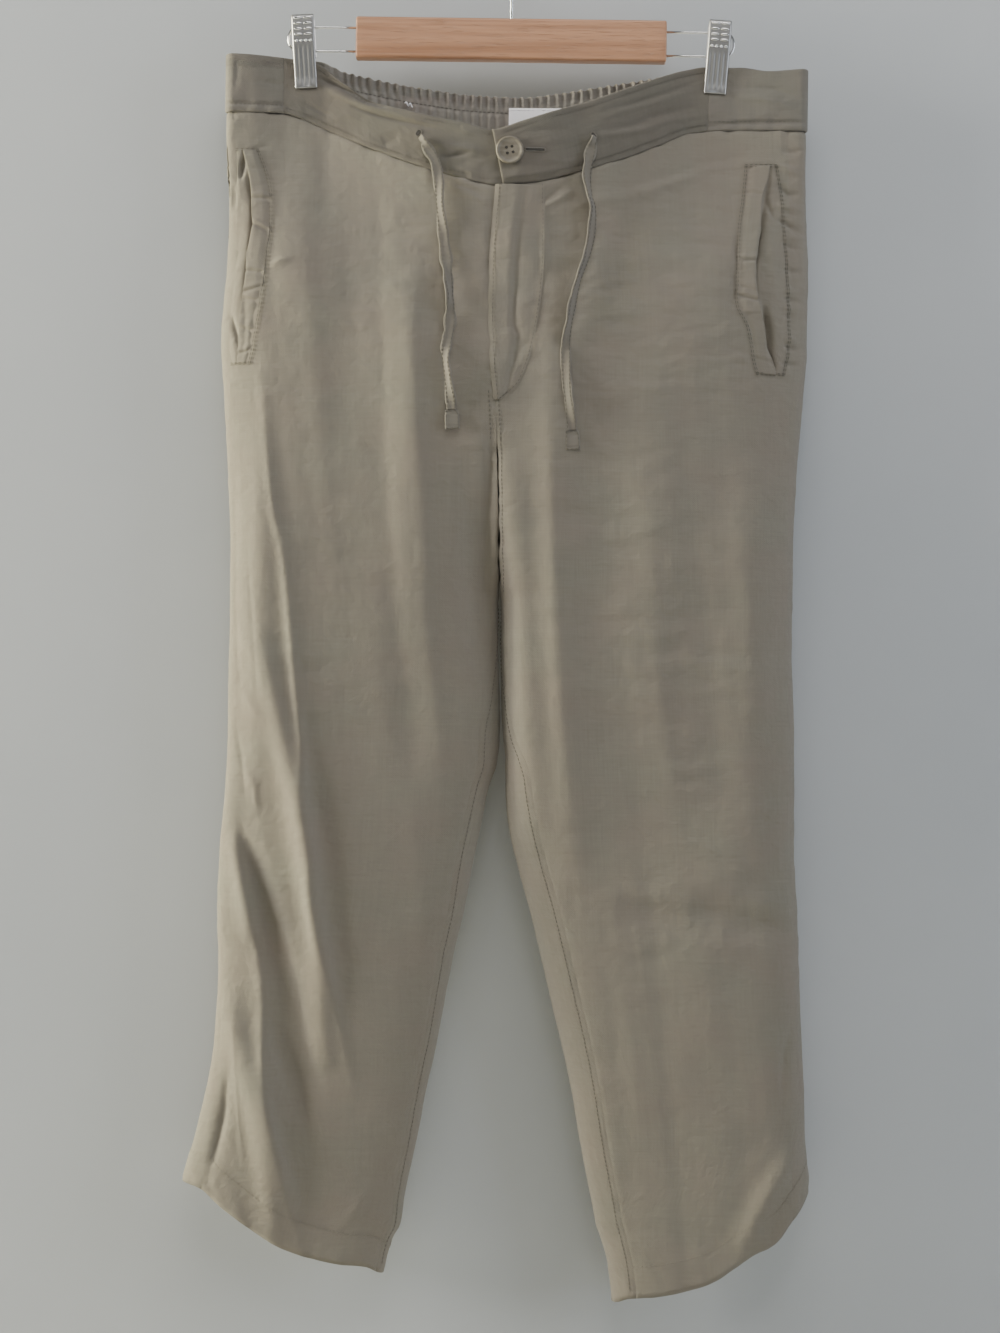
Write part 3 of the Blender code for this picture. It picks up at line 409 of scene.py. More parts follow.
def back_gather_height(place: Array, down: Number) -> Array:
    """Folds that run down from the elastic and fade over the seat."""
    share = np.clip(down / BACK_FOLD_FADE, 0, 1)
    inside = np.abs(place) <= GATHER_LEFT
    edge = (1 - smooth((np.abs(place) - 125) / 25)) * smooth(np.abs(place + 3) / 15)
    height = BACK_FOLD_HEIGHT * np.minimum(1.0, 6 * share + 0.15) * (1 - share) ** 1.5 * edge
    phase = 2 * np.pi * place / BACK_FOLD_PITCH + 0.9 * np.sin(place / 23)
    return np.where(inside, height * np.cos(phase), 0.0)


@dataclass(frozen=True)
class Half:
    """One half of the trousers, with the levels of its seams."""

    name: str
    sign: int
    waist_side: float
    waist_centre: float
    crotch_side: float
    hem_side: float
    hem_inner: float

    def row_levels(self, face: Face, down: Number) -> tuple[Array, Array]:
        """Levels of a panel's row at its outer and inner ends."""
        down = np.asarray(down, float)
        centre = self.waist_centre if face is FRONT else BACK_WAIST_LEVEL
        body = down / CROTCH_SHARE
        leg = (down - CROTCH_SHARE) / (1 - CROTCH_SHARE)
        upper = down <= CROTCH_SHARE
        outer = np.where(
            upper, mix(self.waist_side, self.crotch_side, body), mix(self.crotch_side, self.hem_side, leg)
        )
        inner = np.where(upper, mix(centre, CROTCH_LEVEL, body), mix(CROTCH_LEVEL, self.hem_inner, leg))
        return outer, inner

    def row_edges(self, face: Face, down: Number) -> tuple[Array, Array]:
        """Places of a row's outer and inner ends across the body."""
        outer_level, inner_level = self.row_levels(face, down)
        outer = self.sign * OUTER_EDGE.at(self.name, outer_level)
        seam = CENTRE_FRONT.at("place", inner_level if face is FRONT else CROTCH_LEVEL)
        inner = np.where(inner_level < CROTCH_LEVEL, INNER_EDGE.at(self.name, inner_level), seam)
        return outer, inner

    def row_drop(self, down: Number, across: Number) -> Array:
        """Share of a row's drop at a place across it."""
        return mix(WAIST_DROP.at(self.name, across), HEM_DROP.at(self.name, across), down)

    def waist_depth(self, face: Face, place: Number) -> Array:
        """Distance of the flat waist's face from the middle plane."""
        edge = OUTER_EDGE.at(self.name, self.waist_side) - SIDE_FOLD_RADIUS
        beyond = np.clip((np.abs(place) - edge) / SIDE_FOLD_RADIUS, 0, 1)
        return WAIST_DEPTH.at(face.value, np.abs(place)) * np.sqrt(1 - beyond**2)

    def cloth_points(self, face: Face, down: Number, turn: Array) -> Array:
        """Points on the trousers' outer surface.

        Args:
            face: Front or back.
            down: Share of the way from the waist to the hem.
            turn: 0 to 1 from the leg's outer edge to its inner.

        Returns:
            The points, with their coordinates on the last axis.
        """
        outer_level, inner_level = self.row_levels(face, down)
        outer, inner = self.row_edges(face, down)
        across = (1 - np.cos(np.pi * turn)) / 2
        body = np.sqrt(np.maximum(0.0, 1 - (1 - across) ** BODY_SQUARENESS))
        leg = np.sqrt(np.maximum(0.0, 1 - np.abs(2 * across - 1) ** LEG_SQUARENESS[self.name]))
        full = mix(body, leg, CLOSING.at(face.value, inner_level))
        place = mix(outer, inner, across)
        level = mix(outer_level, inner_level, self.row_drop(down, across))
        opened = smooth(down / WAIST_FADE)
        depth = mix(self.waist_depth(face, place), FACE_DEPTH.at(face.value, inner_level) * full, opened)
        depth = depth + fold_height(face, place, level) * np.minimum(1.0, 1.4 * full) * opened
        if face is BACK:
            depth = depth + back_gather_height(place, down) * np.minimum(1.0, 2 * full)
        return joined(place, -depth if face is FRONT else depth, level)

    def panel_turns(self, face: Face, down: Number) -> tuple[Array, Array]:
        """Where a panel's row starts and ends round the leg; both seams lie on the front."""
        outer_level, inner_level = self.row_levels(FRONT, down)
        outer, inner = self.row_edges(FRONT, down)
        width = np.abs(outer - inner)

        def turn(inset: Array) -> Array:
            """The turn whose place lies inset from the outer edge."""
            return np.arccos(1 - 2 * np.minimum(0.5, inset / width)) / np.pi

        outseam = turn(OUTSEAM_INSET.at(self.name, outer_level))
        below = down > CROTCH_SHARE
        inseam = 1 - turn(np.where(below, INSEAM_INSET.at(self.name, inner_level), 0.0))
        if face is FRONT:
            return outseam, inseam
        return np.where(below, inseam, BACK_START), 2 + outseam

    def ring_points(self, down: Number, turn: Array) -> Array:
        """Points round the whole leg: 0 to 1 over the front, 1 to 2 over the back, then the front."""
        turn = np.mod(turn, 2)
        front = self.cloth_points(FRONT, down, np.minimum(turn, 1))
        back = self.cloth_points(BACK, down, np.clip(2 - turn, 0, 1))
        return np.where((turn <= 1)[..., None], front, back)


RIGHT = Half("right", -1, -152.0, -211.0, -477.0, -1006.0, -1077.0)
LEFT = Half("left", 1, -161.0, -211.0, -479.0, -1008.0, -1097.0)
HALVES = (RIGHT, LEFT)


def seam_level(face: Face, place: Number) -> Array:
    """Level of the seam between waistband and panels."""
    place = np.asarray(place, float)
    levels = []
    for half in HALVES:
        outer, inner = half.row_edges(face, 0.0)
        across = np.clip((place - outer) / (inner - outer), 0, 1)
        outer_level, inner_level = half.row_levels(face, 0.0)
        levels.append(mix(outer_level, inner_level, half.row_drop(0.0, across)))
    return np.where(place > CENTRE_FRONT.at("place", RIGHT.waist_centre), levels[1], levels[0])


def waist_depth(face: Face, place: Number) -> Array:
    """Distance of the flat waist's face from the middle plane, on either half."""
    return np.where(np.asarray(place) > 0, LEFT.waist_depth(face, place), RIGHT.waist_depth(face, place))


def front_depth(place: Array, level: Array) -> Array:
    """Depth of the front, panels or waistband, at places seen from the front."""
    depths = []
    for half in HALVES:
        low, high = np.zeros_like(place), np.ones_like(place)
        for _ in range(20):
            down = (low + high) / 2
            outer, inner = half.row_edges(FRONT, down)
            across = np.clip((place - outer) / (inner - outer), 0, 1)
            outer_level, inner_level = half.row_levels(FRONT, down)
            above = mix(outer_level, inner_level, half.row_drop(down, across)) > level
            low, high = np.where(above, down, low), np.where(above, high, down)
        depths.append(-half.cloth_points(FRONT, down, np.arccos(1 - 2 * across) / np.pi)[..., 1])
    panel = np.where(place > CENTRE_FRONT.at("place", level), depths[1], depths[0])
    return np.where(level >= seam_level(FRONT, place), waist_depth(FRONT, place), panel)


def laid_points(place: Array, level: Array, lift: Number, creases: float = 1.0) -> Array:
    """Points on the creased front, moved out along the surface's normal."""
    place, level = np.broadcast_arrays(np.asarray(place, float), np.asarray(level, float))
    step = 1.0
    depth = front_depth(place, level)
    across = (front_depth(place + step, level) - front_depth(place - step, level)) / (2 * step)
    upward = (front_depth(place, level + step) - front_depth(place, level - step)) / (2 * step)
    outward = unit(joined(-across, -np.ones_like(across), -upward))
    lift = np.asarray(lift + creases * RELIEF.height(FRONT, place, level))
    return joined(place, -depth, level) + outward * lift[..., None]


def cover_depth(place: Array, level: Array) -> Array:
    """Depth of all that lies on the front near a place, for a cord to lie on."""
    reach, depth = 6.0, np.zeros_like(place)
    for near in (level - reach, level, level + reach):
        proud = np.where(near + reach >= seam_level(FRONT, place), BAND_PROUD, 0.0)
        depth = np.maximum(depth, front_depth(place, near) + proud)
    return depth


# Creases
@dataclass(frozen=True)
class Crease:
    """A crease along a route as it is seen from the front; a negative height is a valley."""

    face: Face
    width: float
    height: float
    route: tuple[Point, ...]
    lean: float = 0.0

    SIGHT = (-2.0, -592.0, 0.986)

    def relief(self, place: Array, level: Array) -> Array:
        """The crease's height at places on its face."""
        route = flowing(self.route, 5)
        if self.face is FRONT:
            middle_x, middle_z, scale = self.SIGHT
            route = np.array([middle_x, middle_z]) + scale * (route - np.array([middle_x, middle_z]))
        reach = 3.2 * self.width * (1 + abs(self.lean))
        low, high = route.min(axis=0) - reach, route.max(axis=0) + reach
        near = (place > low[0]) & (place < high[0]) & (level > low[1]) & (level < high[1])
        total = np.zeros_like(place)
        if not near.any():
            return total
        spot = joined(place[near], level[near])
        best = np.full(len(spot), 1e9)
        side, share = np.zeros(len(spot)), np.zeros(len(spot))
        lengths = run_lengths(route, 0)
        for index, (start, end) in enumerate(zip(route, route[1:])):
            run = end - start
            along = np.clip(((spot - start) @ run) / (run @ run), 0, 1)
            offset = spot - start - along[:, None] * run
            distance = np.hypot(*offset.T)
            closer = distance < best
            best = np.where(closer, distance, best)
            side = np.where(closer, np.sign(run[0] * offset[:, 1] - run[1] * offset[:, 0]), side)
            share = np.where(closer, mix(lengths[index], lengths[index + 1], along) / lengths[-1], share)
        width = self.width * (1 + self.lean * side)
        fade = np.sin(np.pi * np.clip(share, 0.02, 0.98)) ** 0.6
        total[near] = self.height * fade * np.exp(-((best / width) ** 1.6))
        return total


def creased(face: Face, rows: Sequence[Point]) -> list[Crease]:
    """Creases from rows of width, height, lean, and the route's places and levels in turn."""
    return [Crease(face, row[0], row[1], tuple(zip(row[3::2], row[4::2])), row[2]) for row in rows]


def creased_height(creases: Sequence[Crease], place: Array, level: Array) -> Array:
    """Sum of creases' heights."""
    return sum((crease.relief(place, level) for crease in creases), np.zeros_like(place))


# Rows of width, height, lean, and the route's places and levels in turn.
FRONT_CREASES = creased(FRONT, [
    (6, 3.8, 0.25, -197, -360, -186, -463, -176, -510, -162, -652, -161, -699, -153, -747, -149, -794, -125,
     -888, -115, -936),
    (6, -1.5, 0, -212, -700, -201, -748, -165, -842, -157, -888, -143, -945),
    (7, 3.6, 0.25, -214, -720, -211, -749, -191, -842, -187, -941, -167, -1021, -158, -1048),
    (8, 2.6, 0, -192, -870, -190, -905, -187, -945, -176, -989, -167, -1021, -158, -1052),
    (4, -3.5, 0, -217, -922, -220, -958, -231, -1006),
    (3, -1.4, 0, -218, -430, -216, -560, -211, -620),
    (2.2, -0.7, 0, -206, -500, -196, -620),
    (2, 0.6, 0, -214, -870, -203, -990, -192, -1040),
    (6, -1.2, 0, -165, -905, -154, -945, -146, -1000),
    (2.2, -1, 0, -216, -640, -209, -672, -206, -700),
    (3, 1.2, 0, -214, -566, -198, -588),
    (3.2, 1.4, 0, -213, -611, -188, -640),
    (3, 1.2, 0, -214, -669, -199, -689, -196, -712),
    (3, 1, 0, -209, -718, -196, -738),
    (4, 1.2, 0, -190, -945, -177, -976),
    (5, 1.5, 0, -121, -1040, -100, -1011),
    (10, 2.2, 0, -76, -260, -74, -360, -62, -510, -60, -557, -46, -660),
    (14, -3.4, 0, -104, -225, -97, -408, -84, -557, -76, -620, -70, -700),
    (10, 1, 0, -97, -215, -94, -330),
    (3, 0.9, 0, -192, -273, -173, -267),
    (4, 1.2, 0, -49, -199, -30, -206, -11, -217),
    (7, -3.4, 0, -9, -385, -16, -500, -15, -545),
    (4.5, -2.6, 0, -9, -408, -11, -430, -12, -470, -13, -510, -12, -545),
    (2, 1.3, 0, -8, -384, -7, -400, -7, -416),
    (18, 6.6, 0.15, 31, -300, 34, -360, 42, -560, 60, -760),
    (5, 1.3, 0, 152, -192, 25, -230),
    (2.6, 0.9, 0, 72, -550, 114, -542),
    (2.6, 0.9, 0, 89, -485, 133, -481),
    (2.8, 1.1, 0, 191, -707, 228, -703),
    (3.2, 1.3, 0, 192, -770, 238, -784),
    (2.6, -0.9, 0, 84, -425, 132, -415),
    (2.6, -0.9, 0, 44, -474, 89, -476),
    (2.6, -0.8, 0, 47, -595, 78, -594),
    (2.8, -1, 0, 42, -616, 74, -618, 106, -617),
    (3.4, -1.1, 0, 96, -781, 130, -784, 176, -792),
    (3.4, -1.5, 0, 152, -780, 196, -789, 241, -803),
    (3, -1, 0, 101, -829, 130, -820, 156, -807),
    (4, -1.6, 0, 240, -870, 231, -901, 230, -937),
    (4, 0.6, 0, 198, -999, 226, -971),
    (5, 0.7, 0, 243, -975, 216, -1015, 196, -1056),
    (1.7, -3.5, 0, -222, -208, -222, -226),
    (2, -5, 0, -215, -184, -217, -201),
    (1.6, -2.2, 0, -212, -195, -206, -232, -212, -288),
    (1.7, -2.2, 0, -211, -283, -210, -328, -213, -347),
    (2, -3, 0, -222, -312, -215, -337),
    (2, 0.8, 0, -191, -273, -177, -267),
    (1.5, -1.2, 0, -215, -182, -200, -174, -192, -173),
    (3, 0.9, 0, -221, -176, -218, -188, -221, -256),
    (2.5, 1.2, 0, -50, -205, -13, -223),
    (2, -0.9, 0, -44, -206, -12, -215),
    (3, -1.1, 0, -13, -217, -15, -298),
    (2.4, -2.6, 0.2, 13, -205, 8, -241, 5, -314, 8, -330, 0, -374),
    (4, 0.9, 0, 7, -208, 1, -247, -2, -297),
    (2, 1.6, 0, 28, -225, 29, -259, 28, -281),
    (2.2, 2, 0, 27, -223, 43, -215, 50, -209),
    (1.8, -1.5, 0, 23, -221, 45, -204),
    (2, 0.8, 0, 24, -210, 35, -203),
    (2, 0.9, 0, 21, -261, 20, -281),
    (2, -1, 0, 18, -329, 8, -340),
    (2.2, 0.9, 0, 20, -294, 16, -300, 9, -304),
    (2.2, 0.8, 0, 23, -337, 12, -346, 6, -357, 4, -370),
    (4, 1.3, 0, 71, -217, 98, -213, 169, -184),
    (4, -1, 0, 71, -211, 98, -205, 166, -180),
    (2.5, -0.9, 0, 151, -183, 193, -177),
    (2.5, 0.8, 0, 181, -184, 194, -181, 215, -182),
    (2, -2.3, 0, 219, -172, 229, -173, 238, -171),
    (3, 1.9, 0, 215, -183, 235, -191),
    (2.4, -2.9, 0, 217, -200, 226, -207, 237, -206),
    (3, 1.7, 0, 215, -216, 238, -221),
    (2, -3.2, 0, 216, -228, 236, -238),
    (2.5, 1.5, 0, 220, -243, 240, -243),
    (1.8, -2.3, 0, 221, -249, 234, -252),
    (1.8, -2.1, 0, 222, -270, 237, -271),
    (2.2, 1.5, 0, 223, -287, 232, -286),
    (1.8, -1.9, 0, 222, -293, 236, -295),
    (2.2, 1.5, 0, 223, -301, 237, -301),
    (1.8, -1.7, 0, 222, -307, 231, -308),
    (2.2, 1.7, 0, 223, -326, 233, -325),
    (1.8, -2.5, 0, 222, -331, 231, -333, 238, -331),
    (1.8, -2.1, 0, 220, -345, 235, -346),
    (1.6, -0.8, 0, 178, -209, 190, -207),
    (1.7, -0.8, 0, 175, -335, 195, -338),
    (2, 0.8, 0, 180, -342, 195, -342),
    (1.7, -0.8, 0, 180, -347, 197, -348),
    (1.5, -2, 0, 184, -239, 181, -292, 178, -301),
    (1.5, -2.6, 0, 210, -194, 199, -265, 201, -294),
    (1.6, -1.6, 0, 207, -211, 214, -230),
    (2.2, -7, 0, 205, -298, 210, -324, 210, -335, 214, -350),
    (5, 1, 0, 208, -229, 215, -294),
])
BACK_CREASES = creased(BACK, [
    (6, 2, 0, -150, -470, -110, -505, -60, -535, -25, -548),
    (6, 2, 0, 150, -475, 108, -508, 58, -535, 22, -548),
    (5, -1.8, 0, -120, -560, -80, -575, -40, -590),
    (5, -1.8, 0, 125, -565, 82, -580, 45, -596),
    (7, 2.4, 0, -190, -560, -170, -660, -160, -760),
    (7, 2.4, 0, 195, -550, 178, -650, 170, -770),
    (4.5, 1.5, 0, -200, -745, -160, -765, -110, -772),
    (4.5, 1.5, 0, 205, -755, 160, -777, 115, -786),
    (4.5, -1.4, 0, -195, -790, -150, -805, -100, -800),
    (4.5, -1.4, 0, 200, -800, 158, -818, 108, -818),
    (5, 1.8, 0, -170, -860, -150, -940, -160, -1020),
    (5, 1.8, 0, 170, -870, 152, -950, 163, -1030),
])
BAND_CREASES = creased(FRONT, [
    (2.5, -0.9, 0, -218, -120, -187, -123, -175, -127),
    (2, -0.8, 0, -221, -105, -222, -128),
    (2, -4.6, 0, -155, -117, -128, -129, -116, -137, -97, -144),
    (1.8, -2.5, 0, -133, -138, -105, -149, -59, -161),
    (3.2, 2.4, 0, -153, -124, -120, -140, -66, -156),
    (3, 0.9, 0, -64, -157, -46, -159, -15, -168),
    (3, 1.6, 0, -59, -173, -21, -179),
    (1.6, -2.2, 0, -55, -184, -32, -180),
    (5, -1.1, 0, -103, -172, -88, -167),
    (2.4, 0.9, 0, -41, -192, -32, -196, -31, -202),
    (1.7, -1.1, 0, -165, -138, -144, -149),
    (2.4, -1.8, 0, 75, -161, 102, -153, 115, -146, 155, -135),
    (3, 1.6, 0, 65, -165, 102, -159, 126, -150, 168, -141),
    (1.5, -1.8, 0, 76, -143, 101, -136, 150, -117),
    (3, 1.1, 0, 60, -155, 150, -123),
    (2.4, -1.1, 0, 10, -163, 47, -161),
    (2, 0.8, 0, 29, -184, 43, -187, 56, -184),
    (3, -1.2, 0, 181, -121, 206, -121, 235, -128),
    (3, 1.1, 0, 180, -128, 207, -131, 233, -137),
    (2.2, -0.9, 0, 163, -148, 198, -150, 229, -148),
])


@dataclass(frozen=True)
class Grain:
    """One size of ripple in the cloth: pitches across and along it, and its height."""

    seed: int
    across: float
    along: float
    height: float


class Relief:
    """All that is added to the cloth's soft folds: creases and ripples."""

    GRAINS = (
        Grain(3, 62, 110, 1.1), Grain(5, 30, 46, 0.6), Grain(7, 13, 150, 0.42),
        Grain(11, 30, 8.5, 0.42), Grain(13, 15, 5, 0.27), Grain(17, 7, 3.4, 0.15),
    )
    WRINKLED = (
        (100, -568, 75, 85, 1.3), (70, -450, 60, 40, 0.8), (150, -790, 90, 40, 0.9),
        (-150, -640, 50, 120, 0.6), (110, -290, 80, 90, 1.6), (-120, -520, 60, 90, 0.5),
        (170, -600, 50, 200, 0.8), (-60, -280, 60, 90, 0.5),
    )

    def __init__(self) -> None:
        """Draw every grain's noise."""
        self.ripples = [(grain, Ripple(grain.seed)) for grain in self.GRAINS]

    def height(self, face: Face, place: Array, level: Array) -> Array:
        """The relief at places on a face, in millimetres."""
        place, level = np.broadcast_arrays(np.asarray(place, float), np.asarray(level, float))
        total = np.zeros_like(place)
        shift = 0.0 if face is FRONT else 17.3
        rough = 0.55 + sum(
            gain * bump(place, x, wide) * bump(level, z, tall) for x, z, wide, tall, gain in self.WRINKLED
        )
        for grain, ripple in self.ripples:
            lean = 0.12 * level if grain.across < grain.along else 0.06 * place
            value = ripple.at(
                (place + lean * (grain.across < grain.along)) / grain.across + shift,
                (level + lean * (grain.across >= grain.along)) / grain.along + shift,
            )
            total = total + grain.height * value * (rough if grain.along < 12 else 1.0)
        total = total * mix(0.35, 1.0, smooth((seam_level(face, place) - level) / 60))
        return total + creased_height(FRONT_CREASES if face is FRONT else BACK_CREASES, place, level)


RELIEF = Relief()


# Meshes
def to_mesh(name: str, points: Array, faces: Sequence, uv: Array | None = None) -> Mesh:
    """Make a smooth mesh.

    Args:
        name: The mesh's name.
        points: Vertices in millimetres, one to a row.
        faces: Vertex indices of each face.
        uv: The cloth's own coordinates of each vertex, in millimetres.

    Returns:
        The mesh, in metres.
    """
    mesh = bpy.data.meshes.new(name)
    mesh.from_pydata((points * MM).tolist(), [], faces if isinstance(faces, list) else faces.tolist())
    if uv is not None:
        layer = mesh.uv_layers.new(name="cloth")
        corners = np.empty(len(mesh.loops), dtype=np.int64)
        mesh.loops.foreach_get("vertex_index", corners)
        layer.data.foreach_set("uv", (uv[corners] * MM).ravel())
    mesh.shade_smooth()
    return mesh


def grid_quads(index: Array) -> Array:
    """Four-cornered faces over a grid of vertex indices."""
    corners = (index[:-1, :-1], index[:-1, 1:], index[1:, 1:], index[1:, :-1])
    return np.stack(corners, axis=-1).reshape(-1, 4)


def face_outwards(mesh: Mesh) -> None:
    """Merge a closed mesh's doubles and turn all its faces outwards."""
    shape = bmesh.new()
    shape.from_mesh(mesh)
    bmesh.ops.remove_doubles(shape, verts=shape.verts, dist=1e-7)
    bmesh.ops.dissolve_degenerate(shape, edges=shape.edges, dist=1e-8)
    bmesh.ops.recalc_face_normals(shape, faces=shape.faces)
    shape.to_mesh(mesh)
    shape.free()


def crisp_border(mesh: Mesh, border: Array) -> None:
    """Keep the shading of a sheet's seams from rolling over its cut edge."""
    on_border = np.zeros(len(mesh.vertices), bool)
    on_border[border.ravel()] = True
    ends = np.empty(2 * len(mesh.edges), int)
    mesh.edges.foreach_get("vertices", ends)
    sharp = mesh.attributes.new("sharp_edge", "BOOLEAN", "EDGE")
    sharp.data.foreach_set("value", on_border[ends.reshape(-1, 2)].all(axis=1))


def cloth_uv(points: Array) -> Array:
    """The cloth's own coordinates over a grid of its points."""
    across = run_lengths(points, 1)
    down = run_lengths(points, 0)
    return joined(across + points[:1, :1, 0], down + points[:1, :1, 2])


def pillow(name: str, outer: Array, inner: Array) -> Mesh:
    """Close two faces of a piece of cloth with rounded edges.

    Args:
        name: The mesh's name.
        outer: A grid of points on the outer face.
        inner: The grid of points behind it.

    Returns:
        One closed mesh.
    """
    middle, reach = (outer + inner) / 2, (outer - inner) / 2
    radius = np.maximum(np.linalg.norm(reach, axis=-1), 1e-6)
    across, down = run_lengths(middle, 1), run_lengths(middle, 0)
    edge = np.minimum.reduce([across, across[:, -1:] - across, down, down[-1:] - down])
    reach = reach * np.sqrt(1 - (1 - np.clip(edge / radius, 0, 1)) ** 2)[..., None]
    rows, columns = radius.shape
    index = np.arange(rows * columns).reshape(rows, columns)
    inside = np.zeros((rows, columns), dtype=bool)
    inside[1:-1, 1:-1] = True
    under = index.copy()
    under[inside] = rows * columns + np.arange(inside.sum())
    points = np.concatenate([(middle + reach).reshape(-1, 3), (middle - reach)[inside]])
    uv = cloth_uv(middle)
    uv = np.concatenate([uv.reshape(-1, 2), uv[inside]])
    mesh = to_mesh(name, points, np.concatenate([grid_quads(index), grid_quads(under)[:, ::-1]]), uv)
    face_outwards(mesh)
    return mesh


def tube(
    name: str, path: Array, half_width: Number, half_thick: Number, aside: Array | None = None,
    sides: int = 14, closed: bool = False, squareness: float = 1.0, waisted: float = 0.0,
) -> Mesh:
    """Sweep a rounded section along a path.

    Args:
        name: The mesh's name.
        path: The points that its middle follows.
        half_width: Half of its width at each point.
        half_thick: Half of its thickness at each point.
        aside: The direction of its width at each point, if it is flat.
        sides: Corners of the section.
        closed: Whether the path runs back to its start.
        squareness: Below 1 for a section with squarer shoulders.
        waisted: How much thinner its middle is than its edges.

    Returns:
        One closed mesh.
    """
    before = np.roll(path, 1, axis=0) if closed else np.concatenate([path[:1], path[:-1]])
    after = np.roll(path, -1, axis=0) if closed else np.concatenate([path[1:], path[-1:]])
    along = unit(after - before)
    if aside is None:
        guide = np.array([0.0, 1.0, 0.0]) if abs(along[:, 1]).max() < 0.8 else np.array([0.0, 0.0, 1.0])
        aside = np.cross(along, guide)
    aside = unit(aside - (aside * along).sum(axis=-1, keepdims=True) * along)
    upward = np.cross(along, aside)
    angle = 2 * np.pi * np.arange(sides) / sides
    wide = np.sign(np.cos(angle)) * np.abs(np.cos(angle)) ** squareness
    tall = np.sign(np.sin(angle)) * np.abs(np.sin(angle)) ** squareness * (1 - waisted * (1 - wide**2) ** 2)
    half_width = np.broadcast_to(half_width, (len(path),))[:, None, None]
    half_thick = np.broadcast_to(half_thick, (len(path),))[:, None, None]
    rings = (
        path[:, None] + aside[:, None] * half_width * wide[None, :, None]
        + upward[:, None] * half_thick * tall[None, :, None]
    )
    index = np.arange(len(path) * sides).reshape(len(path), sides)
    index = np.concatenate([index, index[:, :1]], axis=1)
    if closed:
        index = np.concatenate([index, index[:1]])
    faces = grid_quads(index).tolist()
    if not closed:
        faces += [index[0, :-1].tolist(), index[-1, :-1].tolist()]
    lengths = np.broadcast_to(run_lengths(path, 0)[:, None], (len(path), sides))
    across = (half_width * wide[None, :, None])[..., 0]
    uv = joined(across, lengths).reshape(-1, 2)
    mesh = to_mesh(name, rings.reshape(-1, 3), faces, uv)
    face_outwards(mesh)
    return mesh


def stadium(height: float, width: float) -> Array:
    """An upright oval round the origin, as points (place, level)."""
    angle = 2 * np.pi * np.arange(64) / 64
    radius, straight = width / 2, (height - width) / 2
    return joined(radius * np.cos(angle), radius * np.sin(angle) + straight * np.sign(np.sin(angle)))


def link(thing: Thing) -> None:
    """Put an object in the scene."""
    bpy.context.scene.collection.objects.link(thing)


def place_piece(name: str, mesh: Mesh, material: Material) -> Thing:
    """Link an object that stands at the origin."""
    mesh.materials.clear()
    mesh.materials.append(material)
    thing = bpy.data.objects.new(name, mesh)
    link(thing)
    return thing


def attach(thing: Thing, slot: str, *nodes: str) -> Thing:
    """Make a piece part of the object.

    Args:
        thing: The piece.
        slot: The record's material slot; not used.
        nodes: The solids that it stands for.

    Returns:
        The piece.
    """
    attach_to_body(thing, "root")
    if nodes:
        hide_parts(*nodes)
    LOG.info("%s: %d faces, for %s", thing.name, len(thing.data.polygons), ", ".join(nodes) or "no solid")
    return thing


def dress(name: str, mesh: Mesh, finish: "Finish", slot: str, *nodes: str) -> Thing:
    """Place a piece, give it its finish and make it part of the object."""
    return attach(place_piece(name, mesh, finish.material()), slot, *nodes)


# Geometry nodes
class Tree:
    """A node tree for geometry that repeats."""

    def __init__(self, name: str, inputs: dict[str, tuple[str, object]]) -> None:
        """Make the tree with a geometry input and output.

        Args:
            name: The tree's name.
            inputs: Each further input's socket type and default.
        """
        self.tree = bpy.data.node_groups.new(name, "GeometryNodeTree")
        sockets = self.tree.interface
        sockets.new_socket("Geometry", in_out="OUTPUT", socket_type="NodeSocketGeometry")
        sockets.new_socket("Geometry", in_out="INPUT", socket_type="NodeSocketGeometry")
        self.names = {}
        for label, (kind, value) in inputs.items():
            socket = sockets.new_socket(label, in_out="INPUT", socket_type=kind)
            if value is not None:
                socket.default_value = value
            self.names[label] = socket.identifier
        self.start = self.add("NodeGroupInput")
        self.end = self.add("NodeGroupOutput")

    def add(self, kind: str, inputs: dict | None = None, **settings: object) -> Node:
        """Add a node with its settings and the values or links of its inputs."""
        node = self.tree.nodes.new(kind)
        for name, value in settings.items():
            setattr(node, name, value)
        for name, value in (inputs or {}).items():
            if isinstance(value, NodeSocket):
                self.tree.links.new(value, node.inputs[name])
            else:
                node.inputs[name].default_value = value
        return node

    def finish(self, geometry: NodeSocket) -> None:
        """Realize the instances, give them their material and end the tree."""
        real = self.add("GeometryNodeRealizeInstances", {"Geometry": geometry})
        soft = self.add("GeometryNodeSetShadeSmooth", {"Geometry": real.outputs[0]})
        dressed = self.add(
            "GeometryNodeSetMaterial",
            {"Geometry": soft.outputs[0], "Material": self.start.outputs["Material"]},
        )
        self.tree.links.new(dressed.outputs[0], self.end.inputs[0])

    def apply(
        self, name: str, mesh: Mesh, material: Material, **values: float
    ) -> Thing:
        """Run the tree on a mesh.

        Args:
            name: The new object's name.
            mesh: What the tree starts from.
            material: The finish of what it makes.
            values: Its other inputs.

        Returns:
            An object with a plain mesh.
        """
        thing = bpy.data.objects.new(name, mesh)
        link(thing)
        modifier = thing.modifiers.new("repeat", "NODES")
        modifier.node_group = self.tree
        modifier[self.names["Material"]] = material
        for label, value in values.items():
            modifier[self.names[label]] = value
        thing.update_tag()
        evaluated = thing.evaluated_get(bpy.context.evaluated_depsgraph_get())
        plain = bpy.data.meshes.new_from_object(evaluated)
        plain.name = name
        thing.modifiers.remove(modifier)
        thing.data = plain
        if not plain.materials:
            plain.materials.append(material)
        return thing


